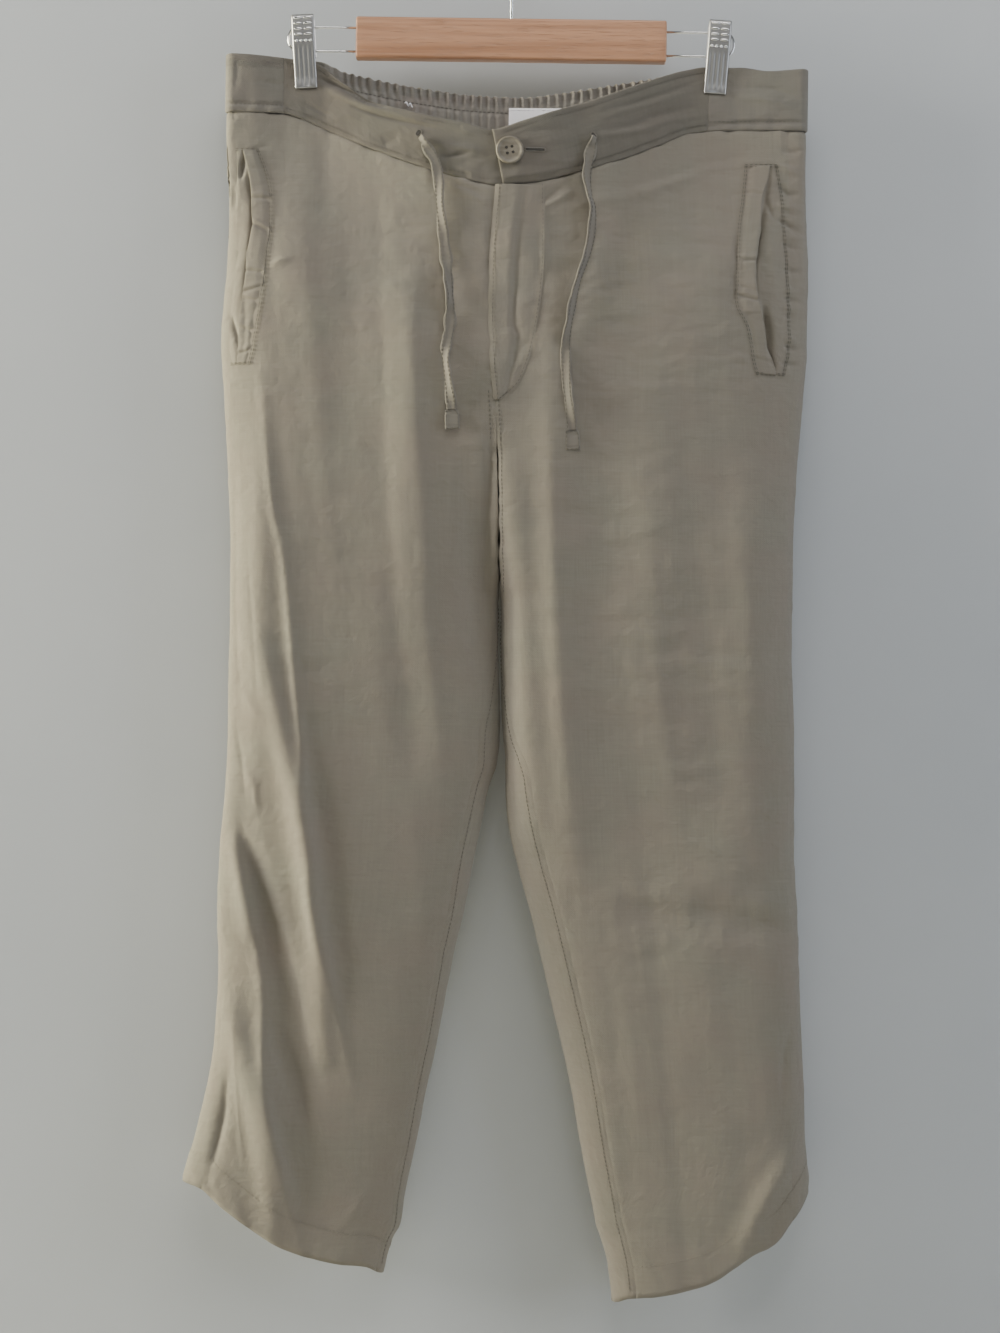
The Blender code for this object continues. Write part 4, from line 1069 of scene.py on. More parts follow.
def stitch_tree() -> Tree:
    """Thread stitches that follow every line of a mesh."""
    tree = Tree("stitch_rows", {
        "Pitch": ("NodeSocketFloat", 0.0034), "Length": ("NodeSocketFloat", 0.0026),
        "Thread": ("NodeSocketFloat", 0.0006), "Material": ("NodeSocketMaterial", None),
    })
    lines = tree.add("GeometryNodeMeshToCurve", {"Mesh": tree.start.outputs["Geometry"]})
    even = tree.add(
        "GeometryNodeResampleCurve", {"Curve": lines.outputs[0], "Length": tree.start.outputs["Pitch"]},
        mode="LENGTH",
    )
    tangent = tree.add("GeometryNodeInputTangent")
    turned = tree.add("FunctionNodeAlignRotationToVector", {"Vector": tangent.outputs[0]}, axis="Z")
    size = tree.add("ShaderNodeCombineXYZ", {
        "X": tree.start.outputs["Thread"], "Y": tree.start.outputs["Thread"],
        "Z": tree.start.outputs["Length"],
    })
    thread = tree.add("GeometryNodeMeshUVSphere", {"Segments": 6, "Rings": 4, "Radius": 0.5})
    stitches = tree.add("GeometryNodeInstanceOnPoints", {
        "Points": even.outputs[0], "Instance": thread.outputs[0], "Rotation": turned.outputs[0],
        "Scale": size.outputs[0],
    })
    tree.finish(stitches.outputs[0])
    return tree


def stud_tree() -> Tree:
    """Raised studs, one on each vertex, as large as the vertex's own size says."""
    tree = Tree("raised_studs", {"Material": ("NodeSocketMaterial", None)})
    size = tree.add("GeometryNodeInputNamedAttribute", {"Name": "size"}, data_type="FLOAT_VECTOR")
    turn = tree.add("GeometryNodeInputNamedAttribute", {"Name": "turn"}, data_type="FLOAT_VECTOR")
    stud = tree.add("GeometryNodeMeshUVSphere", {"Segments": 16, "Rings": 8, "Radius": 0.5})
    studs = tree.add("GeometryNodeInstanceOnPoints", {
        "Points": tree.start.outputs["Geometry"], "Instance": stud.outputs[0],
        "Rotation": turn.outputs[0], "Scale": size.outputs[0],
    })
    tree.finish(studs.outputs[0])
    return tree


@dataclass
class Sewing:
    """Collects the lines that thread follows and sews them."""

    lines: dict[str, list[Array]] = field(default_factory=dict)

    def along(self, group: str, line: Array) -> None:
        """Add a line of points in millimetres to a group of seams."""
        self.lines.setdefault(group, []).append(np.asarray(line, float))

    def on_front(self, group: str, route: Sequence[Point], lift: float) -> None:
        """Add a route (place, level) that lies on the front."""
        line = flowing(route, 6)
        self.along(group, laid_points(line[:, 0], line[:, 1], lift))

    def on_band(self, group: str, name: str, start: float, end: float, up: float) -> None:
        """Add a level line on a front waistband piece."""
        places = np.linspace(start, end, 60)
        self.along(group, band_section(FRONT, places, up, band_lift(name, places) + 0.1, 1.0)[0])

    def sew(self, group: str, tree: Tree, material: Material, **values: float) -> Thing:
        """Make a group's stitches.

        Args:
            group: The group's name.
            tree: The tree that sets stitches.
            material: The thread's finish.
            values: The stitch's pitch, length and thread, in metres.

        Returns:
            The stitches, as one piece.
        """
        points, edges = [], []
        for line in self.lines[group]:
            first = len(points)
            points += (line * MM).tolist()
            edges += [(first + index, first + index + 1) for index in range(len(line) - 1)]
        mesh = bpy.data.meshes.new(group)
        mesh.from_pydata(points, edges, [])
        return attach(tree.apply(group, mesh, material, **values), "linen")


# Finishes
class Board(Tree):
    """Lays shader nodes in a material or a group and wires them."""

    def __init__(self, tree: NodeTree) -> None:
        """Work on an existing node tree."""
        self.tree = tree

    def math(self, operation: str, first: object, second: object = 0.0) -> NodeSocket:
        """Arithmetic on two values or sockets."""
        node = self.add("ShaderNodeMath", operation=operation)
        for socket, value in zip(node.inputs, (first, second)):
            if isinstance(value, NodeSocket):
                self.tree.links.new(value, socket)
            else:
                socket.default_value = value
        return node.outputs[0]

    def plus(self, first: object, second: object) -> NodeSocket:
        """The sum of two values or sockets."""
        return self.math("ADD", first, second)

    def times(self, first: object, second: object) -> NodeSocket:
        """The product of two values or sockets."""
        return self.math("MULTIPLY", first, second)

    def spot(self) -> NodeSocket:
        """Where on the object a point lies."""
        return self.add("ShaderNodeTexCoord").outputs["Object"]

    def blend(self, share: object, first: object, second: object, way: str = "MIX") -> NodeSocket:
        """Mix two colours."""
        node = self.add("ShaderNodeMix", data_type="RGBA", blend_type=way)
        for socket, value in ((node.inputs[0], share), (node.inputs[6], first), (node.inputs[7], second)):
            if isinstance(value, NodeSocket):
                self.tree.links.new(value, socket)
            else:
                socket.default_value = (*value, 1.0) if isinstance(value, tuple) else value
        return node.outputs[2]

    def noise(
        self, vector: object, stretch: Point, detail: float = 3.0, scale: float = 1.0, kind: str = "FBM",
    ) -> NodeSocket:
        """Noise over a stretched vector, about 0.5."""
        mapped = self.add("ShaderNodeMapping", {"Vector": vector, "Scale": tuple(stretch)})
        node = self.add(
            "ShaderNodeTexNoise", {"Vector": mapped.outputs[0], "Scale": scale, "Detail": detail},
            noise_type=kind
        )
        return node.outputs[0]

    def remap(self, value: object, low: float, high: float, start: float, end: float) -> NodeSocket:
        """Stretch low to high over start to end, clamped."""
        return self.add("ShaderNodeMapRange", {
            "Value": value, "From Min": low, "From Max": high, "To Min": start, "To Max": end,
        }).outputs[0]

    def use(self, group: "Effect", **inputs: object) -> Node:
        """Place an effect."""
        return self.add("ShaderNodeGroup", inputs, node_tree=group.tree())


class Effect:
    """A shader group that several finishes use; built once."""

    made: dict[str, NodeTree] = {}
    NAME = ""
    INPUTS: tuple[tuple[str, str, object], ...] = ()
    OUTPUTS: tuple[tuple[str, str], ...] = ()

    def tree(self) -> NodeTree:
        """The group's tree."""
        if self.NAME not in self.made:
            tree = bpy.data.node_groups.new(self.NAME, "ShaderNodeTree")
            for label, kind, value in self.INPUTS:
                socket = tree.interface.new_socket(label, in_out="INPUT", socket_type=kind)
                if value is not None:
                    socket.default_value = value
            for label, kind in self.OUTPUTS:
                tree.interface.new_socket(label, in_out="OUTPUT", socket_type=kind)
            board = Board(tree)
            start, end = board.add("NodeGroupInput"), board.add("NodeGroupOutput")
            for label, socket in self.wire(board, start).items():
                tree.links.new(socket, end.inputs[label])
            self.made[self.NAME] = tree
        return self.made[self.NAME]

    def wire(self, board: Board, start: Node) -> dict[str, NodeSocket]:
        """Lay the group's nodes and name its results."""
        raise NotImplementedError


class Weave(Effect):
    """Plain weave with slubs: uneven yarns that run across and along the cloth."""

    NAME = "plain_weave"
    INPUTS = (
        ("Vector", "NodeSocketVector", None), ("Pitch", "NodeSocketFloat", 0.0008),
        ("Slub", "NodeSocketFloat", 1.0),
    )
    OUTPUTS = (("Tone", "NodeSocketFloat"), ("Height", "NodeSocketFloat"))

    def wire(self, board: Board, start: Node) -> dict[str, NodeSocket]:
        """Yarns over and under each other, and noise stretched along both."""
        vector = start.outputs["Vector"]
        drift = board.noise(vector, (220, 220, 220), 1.0)
        apart = board.add("ShaderNodeSeparateXYZ", {"Vector": vector})
        waves = []
        for axis in (0, 1):
            yarns = board.math("DIVIDE", apart.outputs[axis], start.outputs["Pitch"])
            yarns = board.plus(yarns, board.times(drift, 1.3))
            waves.append(board.math("SINE", board.times(yarns, math.pi)))
        crossing = board.times(*waves)
        weft = board.noise(vector, (45, 1500, 1), 3.0)
        warp = board.noise(vector, (1500, 38, 1), 3.0)
        thick = board.plus(board.noise(vector, (16, 480, 1), 2.0), board.noise(vector, (420, 12, 1), 2.0))
        slubs = board.plus(board.plus(weft, warp), board.times(thick, 0.6))
        slubs = board.times(board.math("SUBTRACT", slubs, 1.6), start.outputs["Slub"])
        tone = board.plus(0.5, board.plus(slubs, board.times(crossing, 0.10)))
        height = board.plus(board.times(crossing, 0.35), slubs)
        return {"Tone": tone, "Height": height}


class Mottle(Effect):
    """Soft uneven patches and a fine dust of specks."""

    NAME = "soft_mottle"
    INPUTS = (("Vector", "NodeSocketVector", None), ("Scale", "NodeSocketFloat", 12.0))
    OUTPUTS = (("Patches", "NodeSocketFloat"), ("Specks", "NodeSocketFloat"))

    def wire(self, board: Board, start: Node) -> dict[str, NodeSocket]:
        """Two sizes of noise."""
        patches = board.noise(start.outputs["Vector"], (1, 1, 1), 4.0, start.outputs["Scale"])
        specks = board.noise(
            start.outputs["Vector"], (1, 1, 1), 2.0, board.times(start.outputs["Scale"], 60.0)
        )
        return {"Patches": board.remap(patches, 0.3, 0.7, 0, 1),
            "Specks": board.remap(specks, 0.4, 0.7, 0, 1)}


WEAVE, MOTTLE = Weave(), Mottle()


@dataclass(frozen=True)
class Finish:
    """A surface finish; subclasses lay its nodes."""

    name: str
    colour: Colour
    roughness: float = 0.5
    metallic: float = 0.0

    def material(self) -> Material:
        """The finish as a material, made once."""
        if self.name in bpy.data.materials and bpy.data.materials[self.name].get("dressed"):
            return bpy.data.materials[self.name]
        material = bpy.data.materials.new(self.name)
        material["dressed"] = True
        material.use_nodes = True
        board = Board(material.node_tree)
        shader = material.node_tree.nodes["Principled BSDF"]
        shader.inputs["Roughness"].default_value = self.roughness
        shader.inputs["Metallic"].default_value = self.metallic
        self.lay(board, shader)
        return material

    def lay(self, board: Board, shader: Node) -> None:
        """Lay the nodes of the finish; a plain one is spotted a little."""
        place = board.spot()
        mottle = board.use(MOTTLE, Vector=place, Scale=60.0)
        board.tree.links.new(
            board.blend(mottle.outputs["Patches"], self.toned(0.82, 0.82, 0.82), self.colour),
            shader.inputs["Base Color"]
        )

    def toned(self, *shares: float) -> Colour:
        """The colour with each of its parts times a share."""
        return tuple(part * share for part, share in zip(self.colour, shares))

    @staticmethod
    def rough(board: Board, shader: Node, height: object, distance: float) -> None:
        """Give the shader a bump of a height."""
        node = board.add("ShaderNodeBump", {"Height": height, "Distance": distance, "Strength": 1.0})
        board.tree.links.new(node.outputs[0], shader.inputs["Normal"])


@dataclass(frozen=True)
class Cloth(Finish):
    """Woven linen, plain or in tape."""

    pitch: float = 0.0008
    slub: float = 0.48
    sheen: float = 0.12
    relief: float = 0.00022

    def lay(self, board: Board, shader: Node) -> None:
        """Yarn tones over uneven dyeing, with the weave's relief and a dry sheen."""
        uv = board.add("ShaderNodeUVMap", uv_map="cloth").outputs[0]
        weave = board.use(WEAVE, Vector=uv, Pitch=self.pitch, Slub=self.slub)
        mottle = board.use(MOTTLE, Vector=uv, Scale=20.0)
        dark = self.toned(0.74, 0.74, 0.74)
        light = tuple(min(1.0, part * 1.26) for part in self.colour)
        yarn = board.blend(weave.outputs["Tone"], dark, light)
        warm = board.blend(
            board.times(mottle.outputs["Patches"], 0.55), yarn,
            self.toned(1.07, 0.95, 0.97),
        )
        worn = board.blend(
            board.times(mottle.outputs["Specks"], 0.10), warm,
            self.toned(1.25, 1.25, 1.22),
        )
        board.tree.links.new(worn, shader.inputs["Base Color"])
        shader.inputs["Sheen Weight"].default_value = self.sheen
        shader.inputs["Sheen Roughness"].default_value = 0.6
        shader.inputs["Specular IOR Level"].default_value = 0.2
        crumple = board.noise(uv, (150, 190, 1), 3.0)
        ridges = board.noise(uv, (70, 40, 1), 4.0, kind="RIDGED_MULTIFRACTAL")
        height = board.plus(weave.outputs["Height"], board.times(crumple, 3.8))
        height = board.plus(height, board.times(ridges, 1.7))
        self.rough(board, shader, height, self.relief)


@dataclass(frozen=True)
class Timber(Finish):
    """Oiled wood with long grain."""

    def lay(self, board: Board, shader: Node) -> None:
        """Grain lines along the bar, pores and uneven oil."""
        place = board.spot()
        lines = board.noise(place, (5, 90, 210), 4.0)
        rings = board.noise(place, (3, 30, 60), 2.0)
        pores = board.remap(board.noise(place, (60, 1500, 2200), 2.0), 0.58, 0.72, 0, 1)
        mottle = board.use(MOTTLE, Vector=place, Scale=9.0)
        grain = board.blend(
            board.remap(lines, 0.35, 0.65, 0, 1), self.toned(0.62, 0.54, 0.48), self.colour
        )
        grain = board.blend(board.remap(rings, 0.4, 0.6, 0.0, 0.45), grain, self.toned(1.15, 1.18, 1.2))
        grain = board.blend(board.times(pores, 0.5), grain, self.toned(0.4, 0.35, 0.3))
        grain = board.blend(
            board.times(mottle.outputs["Patches"], 0.15), grain, self.toned(0.8, 0.8, 0.8)
        )
        board.tree.links.new(grain, shader.inputs["Base Color"])
        board.tree.links.new(board.remap(lines, 0.3, 0.7, 0.5, 0.38), shader.inputs["Roughness"])
        self.rough(board, shader, board.math("SUBTRACT", lines, pores), 0.0002)


@dataclass(frozen=True)
class Steel(Finish):
    """Bright plated steel with fine wear."""

    def lay(self, board: Board, shader: Node) -> None:
        """Scuffs that dull the plating."""
        place = board.spot()
        mottle = board.use(MOTTLE, Vector=place, Scale=90.0)
        scuffs = board.noise(place, (300, 300, 1800), 3.0)
        tone = board.blend(
            board.times(mottle.outputs["Patches"], 0.12), self.colour,
            self.toned(0.7, 0.7, 0.7),
        )
        board.tree.links.new(tone, shader.inputs["Base Color"])
        board.tree.links.new(
            board.remap(scuffs, 0.3, 0.7, self.roughness * 0.85, self.roughness * 1.2),
            shader.inputs["Roughness"],
        )
        self.rough(board, shader, scuffs, 0.000001)


@dataclass(frozen=True)
class Horn(Finish):
    """Turned horn with cloudy streaks and a waxed face."""

    def lay(self, board: Board, shader: Node) -> None:
        """Clouds drawn out to one side."""
        place = board.spot()
        clouds = board.noise(place, (90, 60, 260), 3.0)
        mottle = board.use(MOTTLE, Vector=place, Scale=200.0)
        tone = board.blend(
            board.remap(clouds, 0.35, 0.65, 0, 1), self.toned(0.6, 0.58, 0.55), self.colour
        )
        tone = board.blend(
            board.times(mottle.outputs["Specks"], 0.25), tone, self.toned(1.3, 1.3, 1.2)
        )
        board.tree.links.new(tone, shader.inputs["Base Color"])
        shader.inputs["Coat Weight"].default_value = 0.08
        shader.inputs["Coat Roughness"].default_value = 0.3


LINEN = Cloth("linen_cloth", (0.172, 0.159, 0.127), 0.92)
# The same linen as the legs, coloured darker for the front waistband: painted shade.
PAINTED_SHADE_BAND_LINEN = Cloth("linen_band_painted_shade", (0.114, 0.106, 0.087), 0.92)
# A lighter copy of the linen for the back of the elastic waistband, whose inside lies in shadow: painted
# light.
PAINTED_LIGHT_INNER_LINEN = Cloth("linen_inner_band_painted_light", (0.215, 0.202, 0.172), 0.92)
# A darker copy of the linen for the waistband's front side pieces: painted shade.
PAINTED_SHADE_SIDE_LINEN = Cloth("linen_side_band_painted_shade", (0.138, 0.130, 0.108), 0.92)
TAPE = Cloth("cord_tape", (0.142, 0.132, 0.109), 0.9, pitch=0.0007, slub=0.25, sheen=0.15, relief=0.0002)
LABEL = Cloth("label_satin", (1.0, 1.0, 1.0), 0.6, pitch=0.0004, slub=0.05, relief=0.00005)
# Thread coloured much darker than the linen, so that the stitches also carry the shade of their holes:
# partly the thread's colour, partly painted shade.
THREAD_WITH_PAINTED_SHADE = Finish("sewing_thread_painted_shade", (0.088, 0.080, 0.065), 0.7)
# Near-black for the button's thread and for the sheets in the eyelets and the buttonhole: the thread's
# colour, and painted shade of the holes.
THREAD_AND_PAINTED_HOLE_SHADE = Finish("button_thread", (0.05, 0.045, 0.038), 0.7)
HORN = Horn("button_horn", (0.17, 0.15, 0.116), 0.55)
WOOD = Timber("bar_wood", (0.42, 0.222, 0.126), 0.45)
CHROME = Steel("plated_steel", (0.74, 0.735, 0.72), 0.2, 1.0)
PLATE = Steel("pressed_steel", (0.38, 0.375, 0.365), 0.36, 0.75)
THREADS = {"label_stitches": LABEL, "hem_stitches": LINEN}


# Leg panels
@dataclass
class LegPanels:
    """The four leg panels, sewn at the sides, the inner legs and the centre."""

    rows: int = 285
    front_columns: int = 116
    back_columns: int = 110
    upper: tuple[float, float] = (0.45, 0.30)
    outer: tuple[float, float] = (0.30, 0.18)
    cloth: float = 1.0
    hem_cloth: float = 2.2
    hem_depth: float = 25.0
    outseam_dip: float = 0.06
    inseam_dip: float = 0.3
    pucker: float = 0.6
    edge_blend: float = 14.0

    def downs(self) -> Array:
        """Shares down the panel, closer together by the pockets and the fly."""
        share, reach = self.upper
        return np.interp(np.linspace(0, 1, self.rows + 1), [0, share, 1], [0, reach, 1])[:, None]

    def grid(self, half: Half, face: Face) -> tuple[Array, Array, Array]:
        """A panel's smooth surface.

        Args:
            half: The wearer's right or left.
            face: Front or back.

        Returns:
            Grids of points, of directions out of the leg and of turns round it.
        """
        columns = self.front_columns if face is FRONT else self.back_columns
        down = self.downs()
        start, end = half.panel_turns(face, down)
        turns = start + (end - start) * np.linspace(0, 1, 4 * columns + 1)
        lengths = run_lengths(half.ring_points(down, turns), 1)
        shares = np.linspace(0, 1, columns + 1)
        if face is FRONT:
            shares = np.interp(shares, [0, self.outer[0], 1], [0, self.outer[1], 1])
        wanted = lengths[:, -1:] * shares
        even = np.stack([np.interp(*row) for row in zip(wanted, lengths, turns)])
        points = half.ring_points(down, even)
        outward = unit(np.cross(np.gradient(points, axis=1), np.gradient(points, axis=0)))
        toward = -1 if face is FRONT else 1
        if outward[self.rows // 3, columns // 2, 1] * toward < 0:
            outward = -outward
        return points, outward, even

    def relief(self, half: Half, face: Face, points: Array, turns: Array) -> Array:
        """Creases and ripples over a panel, the same on both sides of the leg's edges."""
        place, level = points[..., 0], points[..., 2]
        on_front = np.mod(turns, 2) <= 1
        front = RELIEF.height(FRONT, place, level)
        back = RELIEF.height(BACK, place, level)
        down = self.downs()
        outer, inner = half.row_edges(face, down)
        inside = smooth(np.abs(place - outer) / self.edge_blend)
        inner_side = smooth(np.abs(place - inner) / self.edge_blend)
        inside = np.minimum(inside, np.where(down > CROTCH_SHARE, inner_side, 1.0))
        own, other = np.where(on_front, front, back), np.where(on_front, back, front)
        return own * (0.5 + 0.5 * inside) + other * (0.5 - 0.5 * inside)

    def seams(self, half: Half, face: Face, points: Array) -> Array:
        """Dips and puckers along a panel's seams, and the turned-up hem."""
        place, level = points[..., 0], points[..., 2]
        run, drop = run_lengths(points, 1), run_lengths(points, 0)
        start, end = run, run[:, -1:] - run
        near = np.minimum(start, end)
        noise = Ripple(20 + half.sign)
        outseam, inseam = (start, end) if face is FRONT else (end, start)
        total = -self.outseam_dip * bump(outseam, 0, 1.2) - self.inseam_dip * bump(inseam, 0, 0.9)
        total = total + self.pucker * np.exp(-near / 6.0) * noise.at(level / 6.5,
            near / 14.0 + (inseam < outseam) * 9)
        waist = np.maximum(0.0, seam_level(face, place) - level)
        total = total + 0.7 * np.exp(-waist / 9.0) * noise.at(place / 6.0, waist / 30.0)
        total = total - 1.3 * bump(waist, 0.0, 1.7)
        hem = drop[-1:] - drop
        total = total + 0.45 * (1 - smooth((hem - self.hem_depth) / 2.5))
        total = total - 0.25 * bump(hem, self.hem_depth, 1.6)
        roping = noise.at((place + 0.7 * hem) / 6.0, hem / 30.0)
        return total + 0.6 * roping * (1 - smooth((hem - self.hem_depth) / 8.0))

    def build(self, sewing: Sewing) -> None:
        """Make the panels and the lines of their stitching."""
        sheets = {
            (RIGHT, FRONT): (0.232, 0.925, 0.178), (LEFT, FRONT): (0.262, 0.935, 0.195),
            (RIGHT, BACK): (0.290, 0.925, 0.215), (LEFT, BACK): (0.300, 0.935, 0.235),
        }
        for (half, face), (width, length, area) in sheets.items():
            points, outward, turns = self.grid(half, face)
            height = self.relief(half, face, points, turns) + self.seams(half, face, points)
            shown = points + outward * height[..., None]
            node = f"{face.value}_{half.name}_leg"
            rows, columns = height.shape
            index = np.arange(rows * columns).reshape(rows, columns)
            faces = grid_quads(index)
            corner = shown.reshape(-1, 3)[faces[len(faces) // 2]]
            normal = np.cross(corner[1] - corner[0], corner[2] - corner[1])
            if normal @ outward.reshape(-1, 3)[faces[len(faces) // 2][0]] < 0:
                faces = faces[:, ::-1]
            uv = joined(run_lengths(points, 1) + points[:1, :1, 0], points[..., 2])
            mesh = to_mesh(f"{node}_cloth", shown.reshape(-1, 3), faces, uv.reshape(-1, 2))
            crisp_border(mesh, index[:, [0, -1]])
            panel = place_piece(f"{node}_cloth", mesh, LINEN.material())
            drop = run_lengths(points, 0)
            hem = drop[-1:] - drop
            turned = panel.vertex_groups.new(name="hem")
            turned.add(index[hem < self.hem_depth].tolist(), 1.0, "REPLACE")
            wall = panel.modifiers.new("cloth", "SOLIDIFY")
            wall.thickness, wall.offset = self.hem_cloth * MM, -1.0
            wall.vertex_group, wall.thickness_vertex_group = "hem", self.cloth / self.hem_cloth
            attach(panel, "linen", node)
            self.stitch(sewing, face, shown + outward * 0.15, hem)

    def stitch(self, sewing: Sewing, face: Face, over: Array, hem: Array) -> None:
        """Add the hem's line and the seams' topstitching."""
        columns = over.shape[1]
        line = [
            [np.interp(-self.hem_depth, -hem[:, column], over[:, column, axis]) for axis in range(3)]
            for column in range(0, columns, 2)
        ]
        sewing.along("hem_stitches", np.array(line))
        if face is BACK:
            sewing.along("seam_stitches", over[7:-2, 2])


# Waistband
def band_lift(name: str, place: Number) -> Array:
    """How far a waistband piece's face stands out from the panels' face."""
    if name != "waistband_front_left":
        return np.full_like(np.asarray(place, float), BAND_PROUD)
    return BAND_PROUD + OVERLAP_LIFT * (1 - smooth((place - UNDERLAP_END) / (RAMP_END - UNDERLAP_END)))


def band_section(
    face: Face, place: Number, up: Number, lift: Number, cloth: Number, foot: float = -0.6
) -> tuple[Array, Array]:
    """Outer and inner points of the waistband.

    Args:
        face: Front or back.
        place: Places across the body.
        up: 0 at the seam with the panels, 1 at the upper edge.
        lift: How far the face stands out.
        cloth: The piece's thickness.
        foot: How far above the seam it starts.

    Returns:
        The outer and the inner points.
    """
    place, up, lift, cloth = np.broadcast_arrays(*(np.asarray(item, float) for item in (place, up, lift,
        cloth)))
    level = mix(seam_level(face, place) + foot, BAND_TOP.at(face.value, place), up)
    step = 0.5
    slope = (waist_depth(face, place + step) - waist_depth(face, place - step)) / (2 * step)
    toward = -1.0 if face is FRONT else 1.0
    point = joined(place, toward * waist_depth(face, place), level)
    outward = unit(joined(-slope, np.full_like(slope, toward), np.zeros_like(slope)))
    return point + outward * lift[..., None], point + outward * (lift - cloth)[..., None]


@dataclass
class Waistband:
    """Two plain front pieces, and an elastic back piece that wraps round both sides."""

    up_steps: int = 34
    plain_step: float = 1.4
    overlap: float = 0.9
    gather_step: float = 0.9
    stitch_below_top: float = 13.0
    ruffle: float = 1.4
    noise: Ripple = field(default_factory=lambda: Ripple(31))

    def face_relief(self, place: Array, level: Array, up: Array) -> Array:
        """Stitching dips, the roll under the right edge and small puckers."""
        height = (BAND_TOP.at("front", place) - seam_level(FRONT, place))
        above, below = up * height, (1 - up) * height
        aside = np.where(place < 0, smooth((-place - 174) / 6), smooth((place - 168) / 16))
        total = -0.3 * (1 - aside) * bump(below, 5.0, 1.4) - mix(0.3, 1.2, aside) * bump(above,
            mix(4.0, 6.6, aside), 1.6)
        total = total + 0.6 * aside * bump(above, 3.2, 2.2)
        total = total + 0.4 * self.noise.at(place / 7.0, level / 22.0) * (0.4 + bump(above, 0, 10))
        total = total + 0.5 * self.noise.at(place / 26.0, level / 14.0)
        total = total + 0.3 * self.noise.at(place / 34.0 + 9, (level - 0.25 * place) / 4.5)
        return total + creased_height(BAND_CREASES, place, level)

    def front_pieces(self, sewing: Sewing) -> None:
        """The right piece, which runs under the left one's lap."""
        pieces = {
            "waistband_front_right": ((RIGHT_BAND_SEAM,) * 2, (UNDERLAP_END,) * 2, (0.21, 0.060, 0.0100)),
            "waistband_front_left": ((-5.0, -14.0), (LEFT_BAND_SEAM,) * 2, (0.175, 0.060, 0.0083)),
        }
        for name, (start, end, (width, length, area)) in pieces.items():
            up = rim_shares(46, self.up_steps, BAND_CLOTH)[:, None]
            reach = end[0] - start[0]
            share = rim_shares(reach, int(reach / self.plain_step), BAND_CLOTH)[None, :]
            place = mix(mix(start[0], start[1], up), mix(end[0], end[1], up), share)
            place = place + self.overlap * (bump(place, LEFT_BAND_SEAM, 12) - bump(place, RIGHT_BAND_SEAM,
                12))
            level = mix(seam_level(FRONT, place), BAND_TOP.at("front", place), up)
            lift = band_lift(name, place) * mix(0.4, 1, smooth(up * 9)) + self.face_relief(place, level, up)
            outer, inner = band_section(FRONT, place, up, lift, BAND_CLOTH)
            # The front pieces take the darker copy of the linen: painted shade.
            band = dress(f"{name}_cloth", pillow(name, outer, inner), PAINTED_SHADE_BAND_LINEN, "linen", name)
        for name, start, end in (("waistband_front_right", -179, -17), ("waistband_front_left", -2, 156)):
            for up in (0.10, 0.91):
                sewing.on_band("waistband_stitches", name, start, end, up)

    def flat(self, face: Face, start: float, end: float, up: Array) -> tuple[Array, Array]:
        """A stretch of the back piece between two places, gathered where the elastic runs."""
        step = self.plain_step if face is FRONT else self.gather_step
        place = np.linspace(start, end, int(abs(end - start) / step) + 2)[None, :] + 0 * up
        if face is FRONT:
            level = mix(seam_level(face, place), BAND_TOP.at("front", place), up)
            return band_section(face, place, up, BAND_PROUD + self.face_relief(place, level, up),
                BAND_CLOTH)
        height = BAND_TOP.at("back", place) - seam_level(face, place)
        below = (1 - up) * height
        turns = GATHER_COUNT * (GATHER_LEFT - place) / (GATHER_LEFT - GATHER_RIGHT)
        phase = 2 * np.pi * turns + 1.3 * self.noise.at(place / 9.0) + 0.5 * self.noise.at(place / 6.0,
            below / 12.0)
        held = smooth((GATHER_LEFT - place) / 8) * smooth((place - GATHER_RIGHT) / 8)
        size = held * (0.75 + 0.35 * self.noise.at(place / 5.0, 7.0))
        crest = (0.5 - 0.5 * np.cos(phase)) ** 0.8 * size
        top = smooth((self.stitch_below_top - below) / 9.0)
        crest = crest * (1 - 0.75 * bump(below, self.stitch_below_top, 2.0)) * (1 - 0.55 * top)
        sway = self.ruffle * np.sin(phase + 0.6) * size * top
        lift = 0.55 + 1.6 * crest + sway
        cloth = BAND_CLOTH - 0.4 * held + 3.4 * crest - 0.6 * top * held
        outer, inner = band_section(face, place, up, lift, cloth)
        rise = 0.9 * np.cos(phase + 0.4) * size * smooth((7 - below) / 7)
        outer[..., 2] += rise
        inner[..., 2] += rise
        return outer, inner

    def side_fold(self, half: Half, up: Array) -> tuple[Array, Array]:
        """The turn round one side of the body, from the front to the back."""
        edge = OUTER_EDGE.at(half.name, half.waist_side) - SIDE_FOLD_RADIUS
        top = BAND_TOP.at("front", half.sign * (edge + SIDE_FOLD_RADIUS))
        level = mix(half.waist_side - 0.6, top, up)
        depth = WAIST_DEPTH.at("front", edge)
        angle = np.linspace(0, np.pi, 22)[None, 1:-1]
        relief = self.face_relief(half.sign * edge + 0 * up, level, up)
        proud = BAND_PROUD + relief * (1 - smooth(angle / 1.5))
        faces = []
        for lift in (proud, proud - BAND_CLOTH):
            across = half.sign * (edge + (SIDE_FOLD_RADIUS + lift) * np.sin(angle)) + 0 * up
            away = -(depth + lift) * np.cos(angle) + 0 * up
            faces.append(joined(across, away, level + 0 * angle))
        return faces[0], faces[1]

